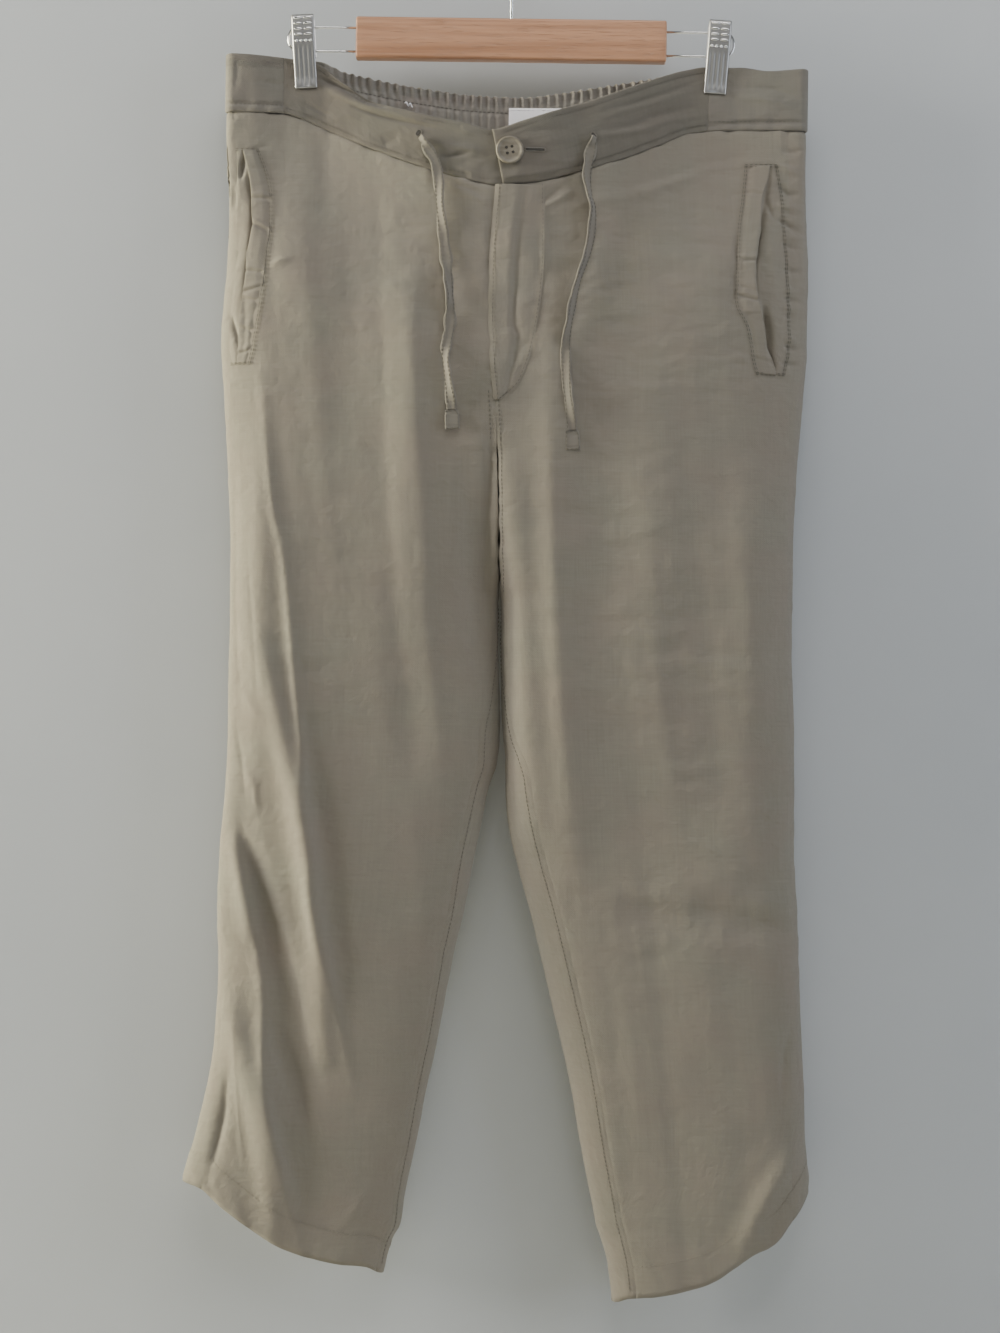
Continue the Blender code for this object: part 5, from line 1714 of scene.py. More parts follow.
    def back_piece(self, sewing: Sewing) -> None:
        """The elastic piece, from the left front seam round the back to the right one."""
        up = rim_shares(46, self.up_steps + 10, BAND_CLOTH)[:, None]
        left_edge = float(OUTER_EDGE.at("left", LEFT.waist_side)) - SIDE_FOLD_RADIUS
        right_edge = SIDE_FOLD_RADIUS - float(OUTER_EDGE.at("right", RIGHT.waist_side))
        right_fold = [side[:, ::-1] for side in self.side_fold(RIGHT, up)]
        parts = [
            self.flat(FRONT, LEFT_BAND_SEAM - self.overlap, left_edge, up), self.side_fold(LEFT, up),
            self.flat(BACK, left_edge, right_edge, up), right_fold,
            self.flat(FRONT, right_edge, RIGHT_BAND_SEAM + self.overlap, up),
        ]
        outer = np.concatenate([part[0] for part in parts], axis=1)
        inner = np.concatenate([part[1] for part in parts], axis=1)
        # Faces behind the middle plane take the lighter linen (painted light in the band's shaded inside);
        # faces in front take the darker one (painted shade).
        band = place_piece("waistband_back_cloth", pillow("waistband_back", outer, inner),
            PAINTED_LIGHT_INNER_LINEN.material())
        band.data.materials.append(PAINTED_SHADE_SIDE_LINEN.material())
        for face in band.data.polygons:
            face.material_index = int(face.center.y < 0)
        attach(band, "linen", "waistband_back")
        place = np.linspace(GATHER_LEFT, GATHER_RIGHT, 260)
        height = BAND_TOP.at("back", place) - seam_level(BACK, place)
        share = 1 - self.stitch_below_top / height
        depth = waist_depth(BACK, place)
        level = mix(seam_level(BACK, place), BAND_TOP.at("back", place), share)
        for lift in (BAND_PROUD + 0.3, BAND_PROUD - BAND_CLOTH - 0.5):
            sewing.along("waistband_stitches", joined(place, depth + lift, level))
        for start, end in ((-222, -183), (160, 229)):
            sewing.on_band("waistband_stitches", "waistband_back", start, end, 0.14)

    def face_points(self, spots: Array, lift: float) -> Array:
        """Points on the front waistband's face at places and levels."""
        place, level = spots[..., 0], spots[..., 1]
        up = (level - seam_level(FRONT, place)) / (BAND_TOP.at("front", place) - seam_level(FRONT, place))
        proud = np.where(place > 0, band_lift("waistband_front_left", place), BAND_PROUD)
        depth = waist_depth(FRONT, place) + proud + self.face_relief(place, level, up) + lift
        return joined(place, -depth, level)

    def eyelets(self) -> None:
        """Worked holes for the drawcord, and the buttonhole beside the button."""
        for name, centre, height, width, lean in (
            ("eyelet_right", (-72.4, -170.6), 5.6, 3.8, 0.7),
            ("eyelet_left", (66.4, -171.0), 6.0, 3.2, -0.6),
            ("buttonhole", (20.0, -184.0), 16.0, 2.6, math.pi / 2),
        ):
            turned = np.array([[math.cos(lean), -math.sin(lean)], [math.sin(lean), math.cos(lean)]])
            ring = self.face_points(stadium(height, width) @ turned + centre, 0.2)
            worked = 0.42 + 0.08 * np.cos(np.pi * np.arange(len(ring)))
            dress(name, tube(name, ring, worked, worked, sides=8, closed=True), TAPE, "linen")
            # A thin near-black sheet fills each hole's opening: painted shade.
            along, across = np.meshgrid(np.linspace(-1, 1, 9), np.linspace(-1, 1, 5), indexing="ij")
            painted_shade_slit = joined(across * (width / 2 - 0.4), along * (height / 2 - 0.6)) @ turned + centre
            outer, inner = self.face_points(painted_shade_slit, 0.3), self.face_points(painted_shade_slit, -0.3)
            dress(f"{name}_slit", pillow(f"{name}_slit", outer, inner), THREAD_AND_PAINTED_HOLE_SHADE, "linen")

    def loose_thread(self) -> None:
        """A white thread's end that lies in the elastic."""
        share = np.linspace(0, 1, 40)
        depth = float(WAIST_DEPTH.at("back", 82.0)) - 5.5
        line = joined(-84.5 + 6 * share, depth + 0.8 * np.sin(share * 17),
            -141.0 - 2.2 * share + 1.1 * np.sin(share * 11))
        dress("loose_thread", tube("loose_thread", line, 0.55, 0.55, sides=8), LABEL, "linen")

    def build(self, sewing: Sewing) -> None:
        """Make the waistband with its holes."""
        self.front_pieces(sewing)
        self.back_piece(sewing)
        self.eyelets()
        self.loose_thread()


# Fly and pockets
@dataclass
class Fly:
    """The fly's lapped front, whose far side melts into the panel at its stitching."""

    rows: int = 60
    columns: int = 14
    cloth: float = 1.0
    lift: float = 1.9
    noise: Ripple = field(default_factory=lambda: Ripple(41))

    def build(self, sewing: Sewing) -> None:
        """Make the fly and its stitching."""
        top, foot = FLY.keys[-1], FLY.keys[0]
        down = rim_shares(171, self.rows, self.cloth)[:, None]
        level = mix(top, foot, down**0.85)
        edge = CENTRE_FRONT.at("place", level) - 1.2
        far = np.maximum(edge + 4, FLY.at("stitching", level))
        across = rim_shares(36, self.columns, self.cloth)[None, :]
        place = mix(edge, far, across)
        rise = smooth((place - edge) / 5.0)
        fade = 1 - smooth((across - 0.35) / 0.6)
        lift = mix(0.35, mix(0.3, self.lift, rise), fade) - 0.3 * bump(across, 0.93, 0.03)
        lift = lift + 0.5 * self.noise.at(place / 9.0, level / 16.0)
        outer = laid_points(place, level, lift)
        inner = laid_points(place, level, lift - self.cloth)
        fly = dress("fly_front_cloth", pillow("fly_front", outer, inner), LINEN, "linen", "fly_front")
        levels = np.linspace(top, foot + 1, 16)
        curve = joined(np.maximum(CENTRE_FRONT.at("place", levels) + 4, FLY.at("stitching", levels)) - 1.6,
            levels)
        sewing.on_front("fly_stitches", curve, 1.0)
        seam = joined(CENTRE_FRONT.at("place", levels) + 2.4, levels)
        sewing.on_front("fly_stitches", seam, self.lift + 0.3)
        for aside in (-4.5, 3.0):
            tack = [(CENTRE_FRONT.at("place", level) + aside, level) for level in (-376, -388, -400, -412)]
            sewing.on_front("fly_stitches", tack, 0.25)
        levels = np.linspace(-414, -532, 12)
        sewing.on_front("fly_stitches",
            [(CENTRE_FRONT.at("place", level) + 3.2, level) for level in levels], 0.2)


@dataclass
class Pockets:
    """Slanted side pockets: a folded edge stitched along the mouth, and the bag that shows in it."""

    rows: int = 150
    cloth: float = 1.3
    lift: float = 1.3
    gape: float = 1.6
    tops: dict[str, float] = field(default_factory=lambda: {"right": -183.0, "left": -190.0})
    noise: Ripple = field(default_factory=lambda: Ripple(43))
    dents: dict[str, tuple[Point, ...]] = field(default_factory=lambda: {
        "right": ((-198, 1.0, 0, 0.4), (-223, 1.3, 1.0, 1.5), (-250, 1.4, 7, 1.5), (-283, 1.3, 2, 1.3),
                  (-294, 1.2, -4, 1.2), (-306, 1.1, 3, 0.9), (-330, 1.2, 4, 1.1), (-344, 1.2, -3, 1.0)),
        "left": ((-192, 1.3, 4, 0.8), (-211, 1.2, -2.5, 0.8), (-268, 1.2, 0, 1.5), (-289, 1.4, -3, 0.5),
                 (-296, 1.4, -4, 1.5), (-312, 1.3, 1.5, 0.5), (-345, 1.4, -4, 0.6)),
    })

    def dented(self, side: str, level: Array, across: Array) -> Array:
        """Dents across a pocket's edge: level at the stitching, width, slant and depth of each."""
        total = np.zeros(np.broadcast(level, across).shape)
        for middle, wide, slant, depth in self.dents[side]:
            near = bump(level, middle + slant * across, wide)
            above = bump(level, middle + slant * across + 2.6, 2.2)
            total = total - depth * near * smooth(across / 0.2) + 0.45 * depth * above
        return total

    @staticmethod
    def stitched(side: str, table: Table, level: Number) -> Array:
        """Place of the stitching; the right edge is narrower at its top."""
        return table.at("stitching", level) - (side == "right") * 4.5 * bump(level, -178.0, 22.0)

    def sew(self, side: str, table: Table, outward: int, sewing: Sewing) -> None:
        """Two rows of stitches round the mouth, closed at the top and the foot."""
        top, foot = self.tops[side] - 1, table.keys[0] + 1
        levels = np.linspace(top, foot, 18)
        inner, outer = self.stitched(side, table, levels), table.at("bag", levels)
        for away in (0.0, 1.6):
            line = joined(inner - outward * (away - 0.4), levels)
            sewing.on_front("pocket_stitches", line, 0.75)
            if side == "left":
                line = joined(outer + outward * away, levels)
                sewing.on_front("pocket_stitches", line, 0.5)
            for level, step in ((top, away), (foot, -away)):
                ends = float(self.stitched(side, table, level)), float(table.at("bag", level))
                sewing.on_front("pocket_stitches",
                    [(mix(*ends, share), level + step) for share in (0, 0.5, 1)], 0.9)

    def build(self, sewing: Sewing) -> None:
        """Make both pockets and their stitching."""
        for side, table in (("right", POCKET_RIGHT), ("left", POCKET_LEFT)):
            outward = -1 if side == "right" else 1
            top, foot = self.tops[side], table.keys[0]
            down = rim_shares(top - foot, self.rows, self.cloth)[:, None]
            level = mix(top, foot, down)
            mouth, stitching = table.at("mouth", level), self.stitched(side, table, level)
            across = rim_shares(15, 14, self.cloth)[None, :]
            edge = mouth + 0.5 * self.noise.at(level / 9.0)
            place = mix(stitching, edge, across)
            lift = mix(0.2, self.lift, smooth(across / 0.45)) + self.gape * np.sin(np.pi * down) * across**2
            lift = lift + 0.35 * self.noise.at(level / 7.0 + 0.2 * across,
                across * 0.6) * smooth(across / 0.4)
            lift = lift + self.dented(side, level, across)
            outer = laid_points(place, level, lift, 0.25)
            inner = laid_points(place, level, lift - self.cloth, 0.25)
            self.piece(f"pocket_edge_{side}", outer, inner, (0.018, 0.185), 0.0027)
            share = rim_shares(12, 12, self.cloth)[None, :]
            place = mix(mouth - outward * 3.0, table.at("bag", level), share)
            lift = 0.35 + 0.4 * bump(share, 0.6, 0.2) + 0.3 * self.noise.at(place / 9.0, level / 10.0)
            lift = lift - 0.9 * (1 - smooth(share / 0.35))
            lift = np.where(share > 0.85, mix(lift, 0.25, (share - 0.85) / 0.15), lift)
            outer = laid_points(place, level, lift)
            inner = laid_points(place, level, lift - self.cloth)
            self.piece(f"pocket_bag_{side}", outer, inner, (0.024, 0.185), 0.0036)
            self.sew(side, table, outward, sewing)

    def piece(self, name: str, outer: Array, inner: Array, flat: Point, area: float) -> None:
        cloth = dress(f"{name}_cloth", pillow(name, outer, inner), LINEN, "linen", name)


# Drawcord
# Turn of each cord's tape in degrees, by the share of its length.
CORD_TWISTS = {
    "right": ((0, 50), (0.06, 5), (0.13, 0), (0.21, 30), (0.26, 47), (0.38, 5), (0.46, 0), (0.54, -35),
              (0.59, -52), (0.66, -5), (0.76, 4), (0.84, 52), (0.92, 40), (1, 4)),
    "left": ((0, -60), (0.04, 0), (0.10, -20), (0.16, -44), (0.22, -66), (0.29, -44), (0.37, -38),
             (0.42, -58), (0.49, -61), (0.55, -41), (0.63, -52), (0.73, 0), (0.83, 28), (0.90, 40), (1, 0)),
}


@dataclass
class Drawcord:
    """One free end of the drawcord: a flat tape that twists, with a folded and stitched end."""

    side: str
    twists: tuple[Point, ...]
    steps: int = 200
    clearance: float = 0.7
    end_length: float = 15.0
    end_half_width: float = 5.7
    end_swell: float = 2.4

    def middle(self, route: Array, turn: Array, half_width: Number) -> tuple[Array, Array]:
        """The tape's middle line and the direction of its width."""
        place, level = route.T
        run = unit(np.gradient(route, axis=0))
        aside = joined(-run[:, 1], run[:, 0])
        depth = np.zeros(len(route))
        for share in (-0.8, 0.0, 0.8):
            spot = route + aside * (share * CORD_WIDTH / 2)
            depth = np.maximum(depth, cover_depth(spot[:, 0], spot[:, 1]))
        kernel = np.hanning(13)[1:-1] / np.hanning(13)[1:-1].sum()
        depth = np.convolve(np.pad(depth, 5, mode="edge"), kernel, mode="valid")
        depth = depth + CORD_LIFT + self.clearance + CORD_THICKNESS / 2 + half_width * np.abs(np.sin(turn))
        line = joined(place, -depth, level)
        flat = joined(aside[:, 0], np.zeros(len(route)), aside[:, 1])
        return line, flat * np.cos(turn)[:, None] + np.array([0.0, -1.0, 0.0]) * np.sin(turn)[:, None]

    def build(self, sewing: Sewing) -> None:
        skip = 4 if self.side == "right" else 1
        route = evenly(flowing(CORD_ROUTES[self.side], 12), self.steps + skip)[skip:]
        share = np.linspace(0, 1, self.steps + 1)
        turn = np.radians(Table("share turn", self.twists).at("turn", share))
        width = CORD_WIDTH / 2 * (1 - 0.16 * np.abs(np.sin(turn)) - 0.3 * bump(share, 0.0, 0.04))
        line, aside = self.middle(route, turn, CORD_WIDTH / 2)
        sink = bump(share, 0.0, 0.022)
        line[:, 1] += 2.6 * sink
        line[:, 2] += 1.0 * sink
        name = f"drawcord_{self.side}"
        wave = 1 + 0.2 * Ripple(51 + len(self.side)).at(share * 22) + 0.08 * Ripple(52).at(share * 60)
        mesh = tube(
            f"{name}_tape", line, width * wave, CORD_THICKNESS / 2, aside, sides=32, squareness=0.8,
            waisted=0.45
        )
        tape = dress(f"{name}_tape", mesh, TAPE, "linen_tape", name)
        upward = unit(np.cross(np.gradient(line, axis=0), aside))
        upward *= np.where(upward[:, 1:2] > 0, -1.0, 1.0)
        for edge in (-0.72, 0.72):
            seam = line + aside * (width * edge)[:, None] + upward * (CORD_THICKNESS / 2 + 0.05)
            sewing.along("cord_stitches", seam[4:])
        end = self.end(sewing, route[-1])

    def end(self, sewing: Sewing, start: Array) -> Thing:
        """The cord's folded end."""
        foot = np.array(CORD_END_FOOT[self.side], float)
        head = start + (foot - start) / np.linalg.norm(foot - start) * 0.2
        run = (foot - head) / np.linalg.norm(foot - head)
        aside = np.array([-run[1], run[0]])
        down = rim_shares(float(np.linalg.norm(foot - head)), 14, self.end_swell)[:, None]
        across = rim_shares(11.5, 10, self.end_swell)[None, :] * 2 - 1
        half_width = self.end_half_width * (1 - 0.12 * bump(down, 0.0, 0.25))
        place = head[0] + run[0] * down * self.end_length + aside[0] * across * half_width
        level = head[1] + run[1] * down * self.end_length + aside[1] * across * half_width
        stretch = float(np.linalg.norm(foot - head)) / self.end_length
        place = head[0] + (place - head[0]) * mix(1, stretch, np.abs(run[0]))
        level = head[1] + (level - head[1]) * mix(1, stretch, np.abs(run[1]))
        depth = cover_depth(place, level).max() + CORD_LIFT + self.clearance
        swell = self.end_swell - 0.5 * bump(down, 0.22, 0.05) - 0.5 * bump(down, 0.85, 0.05)
        outer = joined(place, -(depth + swell), level)
        inner = joined(place, -depth, level)
        name = f"drawcord_{self.side}_end"
        piece = dress(f"{name}_tape", pillow(name, outer, inner), TAPE, "linen_tape", name)
        ring = outer[[3, 3, -4, -4, 3], [3, -4, -4, 3, 3]] + np.array([0.0, -0.15, 0.0])
        sewing.along("cord_stitches",
            np.concatenate([np.linspace(a, b, 6) for a, b in zip(ring, ring[1:])]))
        return piece


# Labels and button
@dataclass
class Labels:
    """Two blank satin labels inside the elastic waistband."""

    cloth: float = 0.6

    def build(self, sewing: Sewing) -> None:
        """Make the labels, sewn along their tops."""
        for name, (start, end, top, foot) in LABELS.items():
            start -= 2.4 * (name == "label_size")
            up = rim_shares(top - foot, 16, self.cloth)[:, None]
            across = rim_shares(end - start, 16, self.cloth)[None, :]
            place = mix(start, end, across) + 0 * up
            depth = WAIST_DEPTH.at("back", np.abs(place)) + BAND_PROUD - 4.7
            depth = depth - 0.9 * (1 - up) ** 2 - 0.35 * np.sin(across * 5.0 + 0.6) * (1 - up)
            level = mix(foot, top, up) + 0 * place
            outer = joined(place, depth, level)
            label = dress(f"{name}_cloth", pillow(name, outer, outer + np.array([0, self.cloth, 0])), LABEL,
                "label_white", name)
            line = joined(np.linspace(start + 1, end - 1, 12), np.full(12, depth[-6].mean() - 0.1),
                np.full(12, top - 1.6))
            sewing.along("label_stitches", line)


@dataclass
class Button:
    """A turned button with a rim, a dished middle, four holes and its thread."""

    sides: int = 72
    hole_radius: float = 1.15
    hole_spread: float = 3.2

    def profile(self) -> list[Point]:
        """Radius and height of the button's section, from the back's middle to the front's."""
        radius, thick = BUTTON_DIAMETER / 2, BUTTON_THICKNESS / 2
        back = [(0.0, -thick), (radius - 1.6, -thick), (radius - 0.7, -thick + 0.25),
            (radius - 0.15, -thick + 0.9)]
        rim = [(radius, -0.1), (radius - 0.12, 0.7), (radius - 0.5, 1.3), (radius - 1.1, thick),
            (radius - 1.8, thick - 0.12)]
        dish = [(radius - 2.4, 1.0), (radius - 2.9, 0.72), (radius - 4.2, 0.62), (3.0, 0.55), (0.0, 0.52)]
        return back + rim + dish

    def build(self) -> None:
        """Turn the button, bore its holes and thread it."""
        place, level = BUTTON_PLACE
        lap = WAIST_DEPTH.at("front", 0) + BAND_PROUD + OVERLAP_LIFT + 0.3
        depth = float(lap) + BUTTON_THICKNESS / 2
        section = np.array(self.profile())
        angle = 2 * np.pi * np.arange(self.sides) / self.sides
        rings = joined(place + section[:, :1] * np.cos(angle), -depth - section[:, 1:] + 0 * angle,
            level + section[:, :1] * np.sin(angle))
        index = np.arange(len(section) * self.sides).reshape(len(section), self.sides)
        index = np.concatenate([index, index[:, :1]], axis=1)
        mesh = to_mesh("button_turned", rings.reshape(-1, 3), grid_quads(index))
        face_outwards(mesh)
        button = place_piece("button_turned", mesh, HORN.material())
        holes = bmesh.new()
        corners = []
        for corner in range(4):
            turn = math.pi / 4 + corner * math.pi / 2 + 0.2
            spot = (place + self.hole_spread * math.cos(turn), -depth,
                level + self.hole_spread * math.sin(turn))
            corners.append(spot)
            bmesh.ops.create_cone(
                holes, cap_ends=True, segments=20, radius1=self.hole_radius * MM,
                radius2=self.hole_radius * MM,
                depth=8 * MM, matrix=Matrix.Translation(Vector(spot) * MM) @ Matrix.Rotation(math.pi / 2, 4,
                "X"),
            )
        cutter_mesh = bpy.data.meshes.new("button_bores")
        holes.to_mesh(cutter_mesh)
        holes.free()
        cutter = bpy.data.objects.new("button_bores", cutter_mesh)
        link(cutter)
        bore = button.modifiers.new("bores", "BOOLEAN")
        bore.operation, bore.object = "DIFFERENCE", cutter
        bored = bpy.data.meshes.new_from_object(button.evaluated_get(bpy.context.evaluated_depsgraph_get()))
        button.modifiers.remove(bore)
        button.data = bored
        bored.set_sharp_from_angle(angle=math.radians(40))
        bpy.data.objects.remove(cutter)
        attach(button, "button_horn", "button")
        # Near-black plugs fill the four holes: the thread, with painted shade of the holes behind it.
        for number, spot in enumerate(corners):
            across, up = np.meshgrid(np.linspace(-1, 1, 7), np.linspace(-1, 1, 7), indexing="ij")
            inside = np.sqrt(1 - np.stack([up, across]) ** 2 / 2) * np.stack([across,
                up]) * self.hole_radius
            front = joined(spot[0] + inside[0], -(depth + 0.35) + 0 * across, spot[2] + inside[1])
            back = front + np.array([0.0, 1.2, 0.0])
            name = f"button_thread_{number}"
            dress(name, pillow(name, front, back), THREAD_AND_PAINTED_HOLE_SHADE, "linen")


# Hanger
@dataclass
class Hanger:
    """A wooden bar with a wire hook, and wire loops that carry two pressed steel clips."""

    hook_sides: int = 20
    jaw_rows: int = 64
    face_steps: int = 56
    steel: float = 1.0
    back_face: tuple[Point, ...] = (
        (-133.0, 4.9), (-129, 4.9), (-125, 4.7), (-120, 5.6), (-115, 6.6), (-109, 7.8), (-103, 8.9),
        (-98, 9.4), (-94, 9.7), (-88, 10.0), (-80, 10.0), (-77, 9.8), (-75.0, 8.9),
    )

    def bar(self) -> None:
        """The bar, with softened edges and ends."""
        half_depth, half_height, soft = BAR_DEPTH / 2, BAR_HEIGHT / 2, 2.2
        shares = rim_shares(BAR_LENGTH, 40, 3.2)
        section = []
        for turn in np.linspace(0, 2 * np.pi, 56, endpoint=False) + 1e-4:
            corner_y = (half_depth - soft) * np.sign(np.cos(turn))
            corner_z = (half_height - soft) * np.sign(np.sin(turn))
            section.append((corner_y + soft * np.cos(turn), corner_z + soft * np.sin(turn)))
        section = np.array(section)
        rings = []
        for share in shares:
            away = min(share, 1 - share) * BAR_LENGTH
            shrink = 1.6 * (1 - math.sqrt(max(0.0, 1 - (1 - min(1.0, away / 1.6)) ** 2)))
            scale = np.array([(half_depth - shrink) / half_depth, (half_height - shrink) / half_height])
            ring = section * scale
            rings.append(np.column_stack([
                np.full(len(ring), mix(-BAR_LENGTH / 2, BAR_LENGTH / 2, share)), ring[:, 0],
                BAR_TOP - half_height + ring[:, 1],
            ]))
        rings = np.array(rings)
        index = np.arange(rings.shape[0] * rings.shape[1]).reshape(rings.shape[:2])
        looped = np.concatenate([index, index[:, :1]], axis=1)
        faces = grid_quads(looped).tolist() + [index[0].tolist(), index[-1].tolist()]
        mesh = to_mesh("hanger_bar_wood", rings.reshape(-1, 3), faces)
        face_outwards(mesh)
        mesh.set_sharp_from_angle(angle=math.radians(60))
        dress("hanger_bar_wood", mesh, WOOD, "bar_wood", "hanger_bar")

    def hook(self) -> None:
        """The hook, whose free end is rounded."""
        radius = HOOK_INNER_RADIUS + HOOK_WIRE / 2
        stem = [(place, BAR_TOP + 0.3 + height) for place, height in HOOK_STEM]
        angle = HOOK_ARC_START + HOOK_ARC_SWEEP * np.linspace(0, 1, 27)
        arc = joined(radius * np.cos(angle), -HOOK_INNER_RADIUS + radius * np.sin(angle))
        line = evenly(flowing(stem + arc.tolist(), 8), 240)
        path = joined(line[:, 0], np.zeros(len(line)), line[:, 1])
        away = run_lengths(path, 0)
        reach = away[-1] - away
        half = HOOK_WIRE / 2 * np.sqrt(1 - (1 - np.clip(reach / (HOOK_WIRE / 2), 0.02, 1)) ** 2)
        mesh = tube("hanger_hook_wire", path, half, half, sides=self.hook_sides)
        dress("hanger_hook_wire", mesh, CHROME, "steel", "hanger_hook")

    def loops(self) -> None:
        """The wire loops at both ends of the bar."""
        radius = (LOOP_UPPER - LOOP_LOWER) / 2
        middle = (LOOP_UPPER + LOOP_LOWER) / 2
        turn = LOOP_END - LOOP_WIRE / 2 - radius
        for side, sign in (("right", -1), ("left", 1)):
            root = BAR_LENGTH / 2 - 3.0
            angle = np.pi / 2 - np.pi * np.linspace(0, 1, 25)
            bend = joined(turn + radius * np.cos(angle), middle + radius * np.sin(angle))
            bend[:, 0] = turn + (LOOP_END - LOOP_WIRE / 2 - turn) * np.abs(np.cos(angle)) ** 0.75
            line = np.concatenate([[(root, LOOP_UPPER)], [(mix(root, turn, 0.5), LOOP_UPPER)], bend,
                                   [(mix(root, turn, 0.5), LOOP_LOWER)], [(root, LOOP_LOWER)]])
            path = joined(sign * line[:, 0], np.zeros(len(line)), line[:, 1])
            name = f"hanger_loop_{side}_wire"
            mesh = tube(name, path, LOOP_WIRE / 2, LOOP_WIRE / 2, sides=16)
            dress(name, mesh, CHROME, "steel", f"hanger_loop_{side}")

    def jaw(self, width: float, facing: int) -> tuple[Array, Array]:
        """Outer and inner faces of a pressed jaw, upright about the middle plane."""
        lug = np.array([-107.8, -107.0, -79.0, -78.2])
        level = np.unique(np.concatenate([np.linspace(-133.0, -75.0, self.jaw_rows), lug]))[:, None]
        out = Table("level out", self.back_face).at("out", level)
        back = np.interp(level, [-133, -123.5, -114.5, -107.8, -107.0, -79.0, -78.2, -75],
            [3.4, 3.4, 5.4, 5.6, -3.2, -3.2, 7.6, 7.6])
        radius = 1.6
        faces = []
        for shrink in (0.0, self.steel):
            half, front, corner = width / 2 - shrink, out - shrink, radius - shrink * 0.9
            wing = np.linspace(0, 1, 8)
            turn = np.linspace(0, np.pi / 2, 7)[1:-1]
            flat = np.linspace(-1, 1, self.face_steps)
            left_y = mix(back, front - corner, wing[None, :])
            parts_x = [np.full_like(left_y, -half),
                -half + corner - corner * np.cos(turn)[None, :] + 0 * level,
                       (half - corner) * flat[None, :] + 0 * level,
                       half - corner + corner * np.sin(turn)[None, :] + 0 * level,
                       np.full_like(left_y, half)]
            ribs = 0.22 * np.cos(2 * np.pi * flat * 2)[None,
                :] * smooth((level + 131) / 4) * smooth((-99 - level) / 4)
            lip = 0.25 * np.cos(2 * np.pi * flat * 9)[None, :] * (1 - smooth((level + 130.5) / 1.5))
            parts_y = [left_y, front - corner + corner * np.sin(turn)[None, :],
                       front + (ribs + lip) * (np.abs(flat) < 0.93) + 0 * flat[None, :],
                       front - corner + corner * np.cos(turn)[None, :], left_y[:, ::-1]]
            across, depth = np.concatenate(parts_x, axis=1), np.concatenate(parts_y, axis=1)
            depth = np.maximum(depth, back)
            faces.append(joined(across, facing * depth, level + 0 * across))
        return faces[0], faces[1]

    def studs(self, facing: int) -> tuple[Array, Array]:
        """Places and sizes of the raised bars and dots pressed in a jaw's face."""
        spots, sizes = [], []
        out = Table("level out", self.back_face)
        for level in (-78.0, -82.4, -86.7, -91.0):
            for place in (-3.9, 3.9):
                spots.append((place, facing * (float(out.at("out", level)) + 0.05), level))
                sizes.append((6.6, 1.5, 2.3))
        for place in (-5.6, -1.9, 1.9, 5.6):
            spots.append((place, facing * (float(out.at("out", -96.2)) + 0.05), -96.2))
            sizes.append((2.6, 1.5, 2.6))
        return np.array(spots), np.array(sizes)

    def clips(self, tree: Tree) -> None:
        """Both clips, tilted a little as they hold the cloth."""
        middle = (LOOP_UPPER + LOOP_LOWER) / 2
        for side, sign in (("right", -1), ("left", 1)):
            turn = sign * CLIP_TILT
            cosine, sine = math.cos(turn), math.sin(turn)

            def hung(points: Array) -> Array:
                """Points of an upright jaw, tilted and moved to its place."""
                x, z = points[..., 0], points[..., 2] - middle
                return joined(x * cosine + z * sine + sign * CLIP_PLACE, points[..., 1],
                    -x * sine + z * cosine + middle)

            for jaw, facing, width in (("front", -1, CLIP_WIDTH), ("back", 1, CLIP_WIDTH - 2.6)):
                outer, inner = self.jaw(width, facing)
                name = f"clip_{jaw}_jaw_{side}"
                dress(f"{name}_plate", pillow(name, hung(outer), hung(inner)), PLATE, "steel", name)
                spots, sizes = self.studs(facing)
                spots[:, 0] *= width / CLIP_WIDTH
                points = bpy.data.meshes.new(f"{name}_studs")
                points.from_pydata((hung(spots) * MM).tolist(), [], [])
                size = points.attributes.new("size", "FLOAT_VECTOR", "POINT")
                size.data.foreach_set("vector", (sizes * MM).ravel())
                tilt = points.attributes.new("turn", "FLOAT_VECTOR", "POINT")
                tilt.data.foreach_set("vector", np.tile([0.0, turn, 0.0], len(spots)))
                attach(tree.apply(f"{name}_studs", points, CHROME.material()), "steel")

    def build(self, tree: Tree) -> None:
        """Make the whole hanger."""
        self.bar()
        self.hook()
        self.loops()
        self.clips(tree)


# Studio
# Name, power, size, place, target and colour of each light.
LEG_MIDDLE = (0.0, 0.0, -0.6)
LIGHTS = (
    ("window", 135.0, (0.6, 1.2), (-2.3, -0.03, -0.1), LEG_MIDDLE, (1.0, 0.95, 0.62)),
    ("window_front", 70.0, (0.6, 1.2), (-2.2, -0.5, 0.1), LEG_MIDDLE, (1.0, 0.98, 0.95)),
    ("ceiling", 14.0, (1.3, 0.5), (0.15, -0.95, 1.0), (0.0, 0.0, -0.35), (0.99, 0.98, 0.96)),
    ("side", 23.0, (1.0, 1.6), (2.0, -0.9, -0.2), LEG_MIDDLE, (0.92, 1.0, 1.14)),
    ("lamp", 5.0, (0.6, 0.3), (0.1, -1.7, 0.75), (0.0, 0.0, -0.5), (1.0, 0.97, 0.95)),
    ("behind", 22.0, (1.6, 1.6), (0.5, 2.4, 0.2), LEG_MIDDLE, (1.0, 1.0, 1.0)),
)


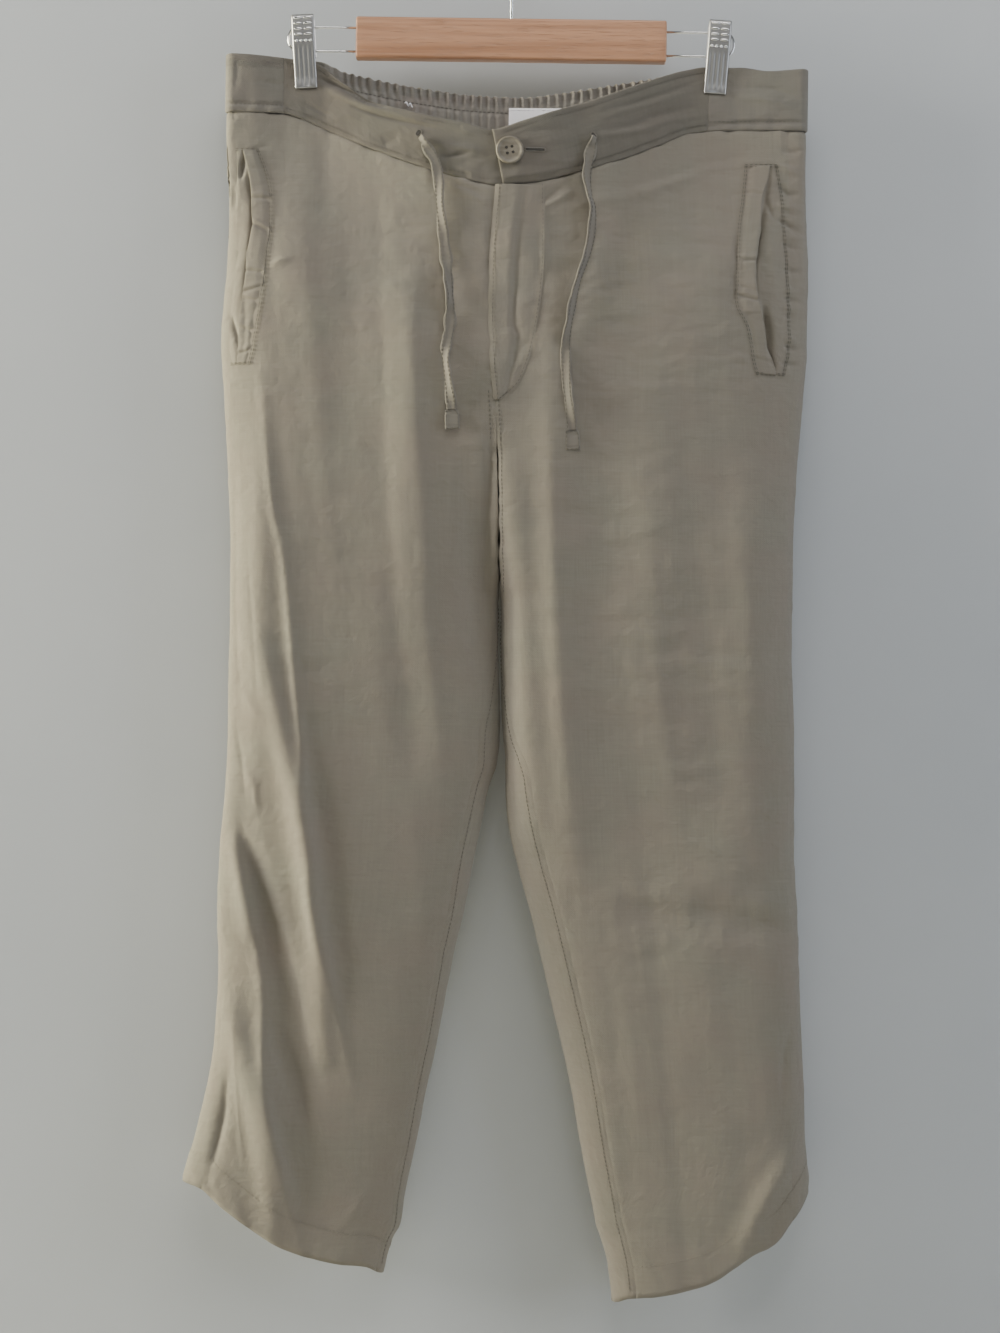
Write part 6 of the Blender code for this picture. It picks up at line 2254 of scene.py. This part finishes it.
@dataclass
class Studio:
    """Camera, soft light, a pale floor and a plain wall close behind."""

    distance: float = 1.8
    centre: tuple[float, float] = (-0.002, -0.592)
    frame_height: float = 1.066
    roll: float = math.radians(0.8)
    wall_behind: float = 0.041
    floor_level: float = -1.42

    def camera(self) -> None:
        """The camera at the eye's level, turned a little about its line of sight."""
        data = bpy.data.cameras.new("camera")
        data.sensor_fit, data.sensor_height, data.sensor_width = "VERTICAL", 36.0, 36.0
        data.lens = 36.0 * self.distance / self.frame_height
        camera = bpy.data.objects.new("camera", data)
        camera.location = (self.centre[0], -self.distance, self.centre[1])
        camera.rotation_euler = (math.pi / 2, -self.roll, 0.0)
        link(camera)
        bpy.context.scene.camera = camera

    def plane(self, name: str, size: Point, location: Point, turned: Point, material: Material) -> None:
        """A flat piece of the studio."""
        width, height = size[0] / 2, size[1] / 2
        mesh = bpy.data.meshes.new(name)
        mesh.from_pydata([(-width, -height, 0), (width, -height, 0), (width, height, 0),
            (-width, height, 0)], [], [(0, 1, 2, 3)])
        mesh.materials.append(material)
        thing = bpy.data.objects.new(name, mesh)
        thing.location, thing.rotation_euler = location, turned
        link(thing)

    def wall_material(self) -> Material:
        """Pale plaster that only a camera in front of it sees, so that light from behind passes."""
        material = bpy.data.materials.new("wall")
        material.use_nodes = True
        board = Board(material.node_tree)
        shader = material.node_tree.nodes["Principled BSDF"]
        output = material.node_tree.nodes["Material Output"]
        place = board.spot()
        mottle = board.use(MOTTLE, Vector=place, Scale=3.0)
        tone = board.blend(mottle.outputs["Patches"], (0.408, 0.424, 0.437), (0.444, 0.458, 0.467))
        board.tree.links.new(tone, shader.inputs["Base Color"])
        shader.inputs["Roughness"].default_value = 0.95
        shader.inputs["Specular IOR Level"].default_value = 0.1
        clear = board.add("ShaderNodeBsdfTransparent")
        seen = board.add("ShaderNodeLightPath").outputs["Is Camera Ray"]
        behind = board.add("ShaderNodeNewGeometry").outputs["Backfacing"]
        share = board.times(seen, board.math("SUBTRACT", 1.0, behind))
        mixed = board.add("ShaderNodeMixShader", {0: share, 1: clear.outputs[0], 2: shader.outputs[0]})
        board.tree.links.new(mixed.outputs[0], output.inputs["Surface"])
        return material

    def light(self, name: str, power: float, size: Point, location: Point, target: Point,
            colour: Colour) -> None:
        """A soft area light that faces a point."""
        data = bpy.data.lights.new(name, "AREA")
        data.shape, data.size, data.size_y = "RECTANGLE", size[0], size[1]
        data.energy, data.color = power, colour
        thing = bpy.data.objects.new(name, data)
        thing.location = location
        thing.rotation_euler = (Vector(target) - Vector(location)).to_track_quat("-Z", "Y").to_euler()
        thing.visible_glossy = name != "lamp"
        link(thing)

    def build(self) -> None:
        """Set up the studio, without its camera."""
        floor = Finish("studio_floor", (0.62, 0.62, 0.61), 0.8).material()
        self.plane("floor", (8.0, 8.0), (0, 0, self.floor_level), (0, 0, 0), floor)
        self.plane("wall", (5.0, 4.0), (0, self.wall_behind, self.floor_level + 2.0), (math.pi / 2, 0, 0),
            self.wall_material())
        for row in LIGHTS:
            self.light(*row)
        self.surroundings()

    @staticmethod
    def surroundings() -> None:
        """Soft light from above, over a dim room."""
        world = bpy.context.scene.world or bpy.data.worlds.new("world")
        bpy.context.scene.world = world
        world.use_nodes = True
        board = Board(world.node_tree)
        background = world.node_tree.nodes["Background"]
        direction = board.add("ShaderNodeTexCoord").outputs["Generated"]
        height = board.add("ShaderNodeSeparateXYZ", {"Vector": direction}).outputs[2]
        tone = board.blend(board.remap(height, 0.05, 0.85, 0, 1), (0.08, 0.08, 0.08), (0.17, 0.18, 0.19))
        board.tree.links.new(tone, background.inputs["Color"])
        background.inputs["Strength"].default_value = 1.0


def main() -> None:
    """Build every sub-assembly in order."""
    logging.basicConfig(level=logging.INFO, format="%(message)s")
    studio, sewing = Studio(), Sewing()
    studio.camera()
    stitches, studs = stitch_tree(), stud_tree()
    for side, twists in CORD_TWISTS.items():
        Drawcord(side, twists).build(sewing)
    LegPanels().build(sewing)
    Waistband().build(sewing)
    Fly().build(sewing)
    Pockets().build(sewing)
    Labels().build(sewing)
    Button().build()
    Hanger().build(studs)
    for group in sewing.lines:
        sewing.sew(group, stitches, THREADS.get(group, THREAD_WITH_PAINTED_SHADE).material())
    studio.build()


if __name__ == "__main__":
    main()
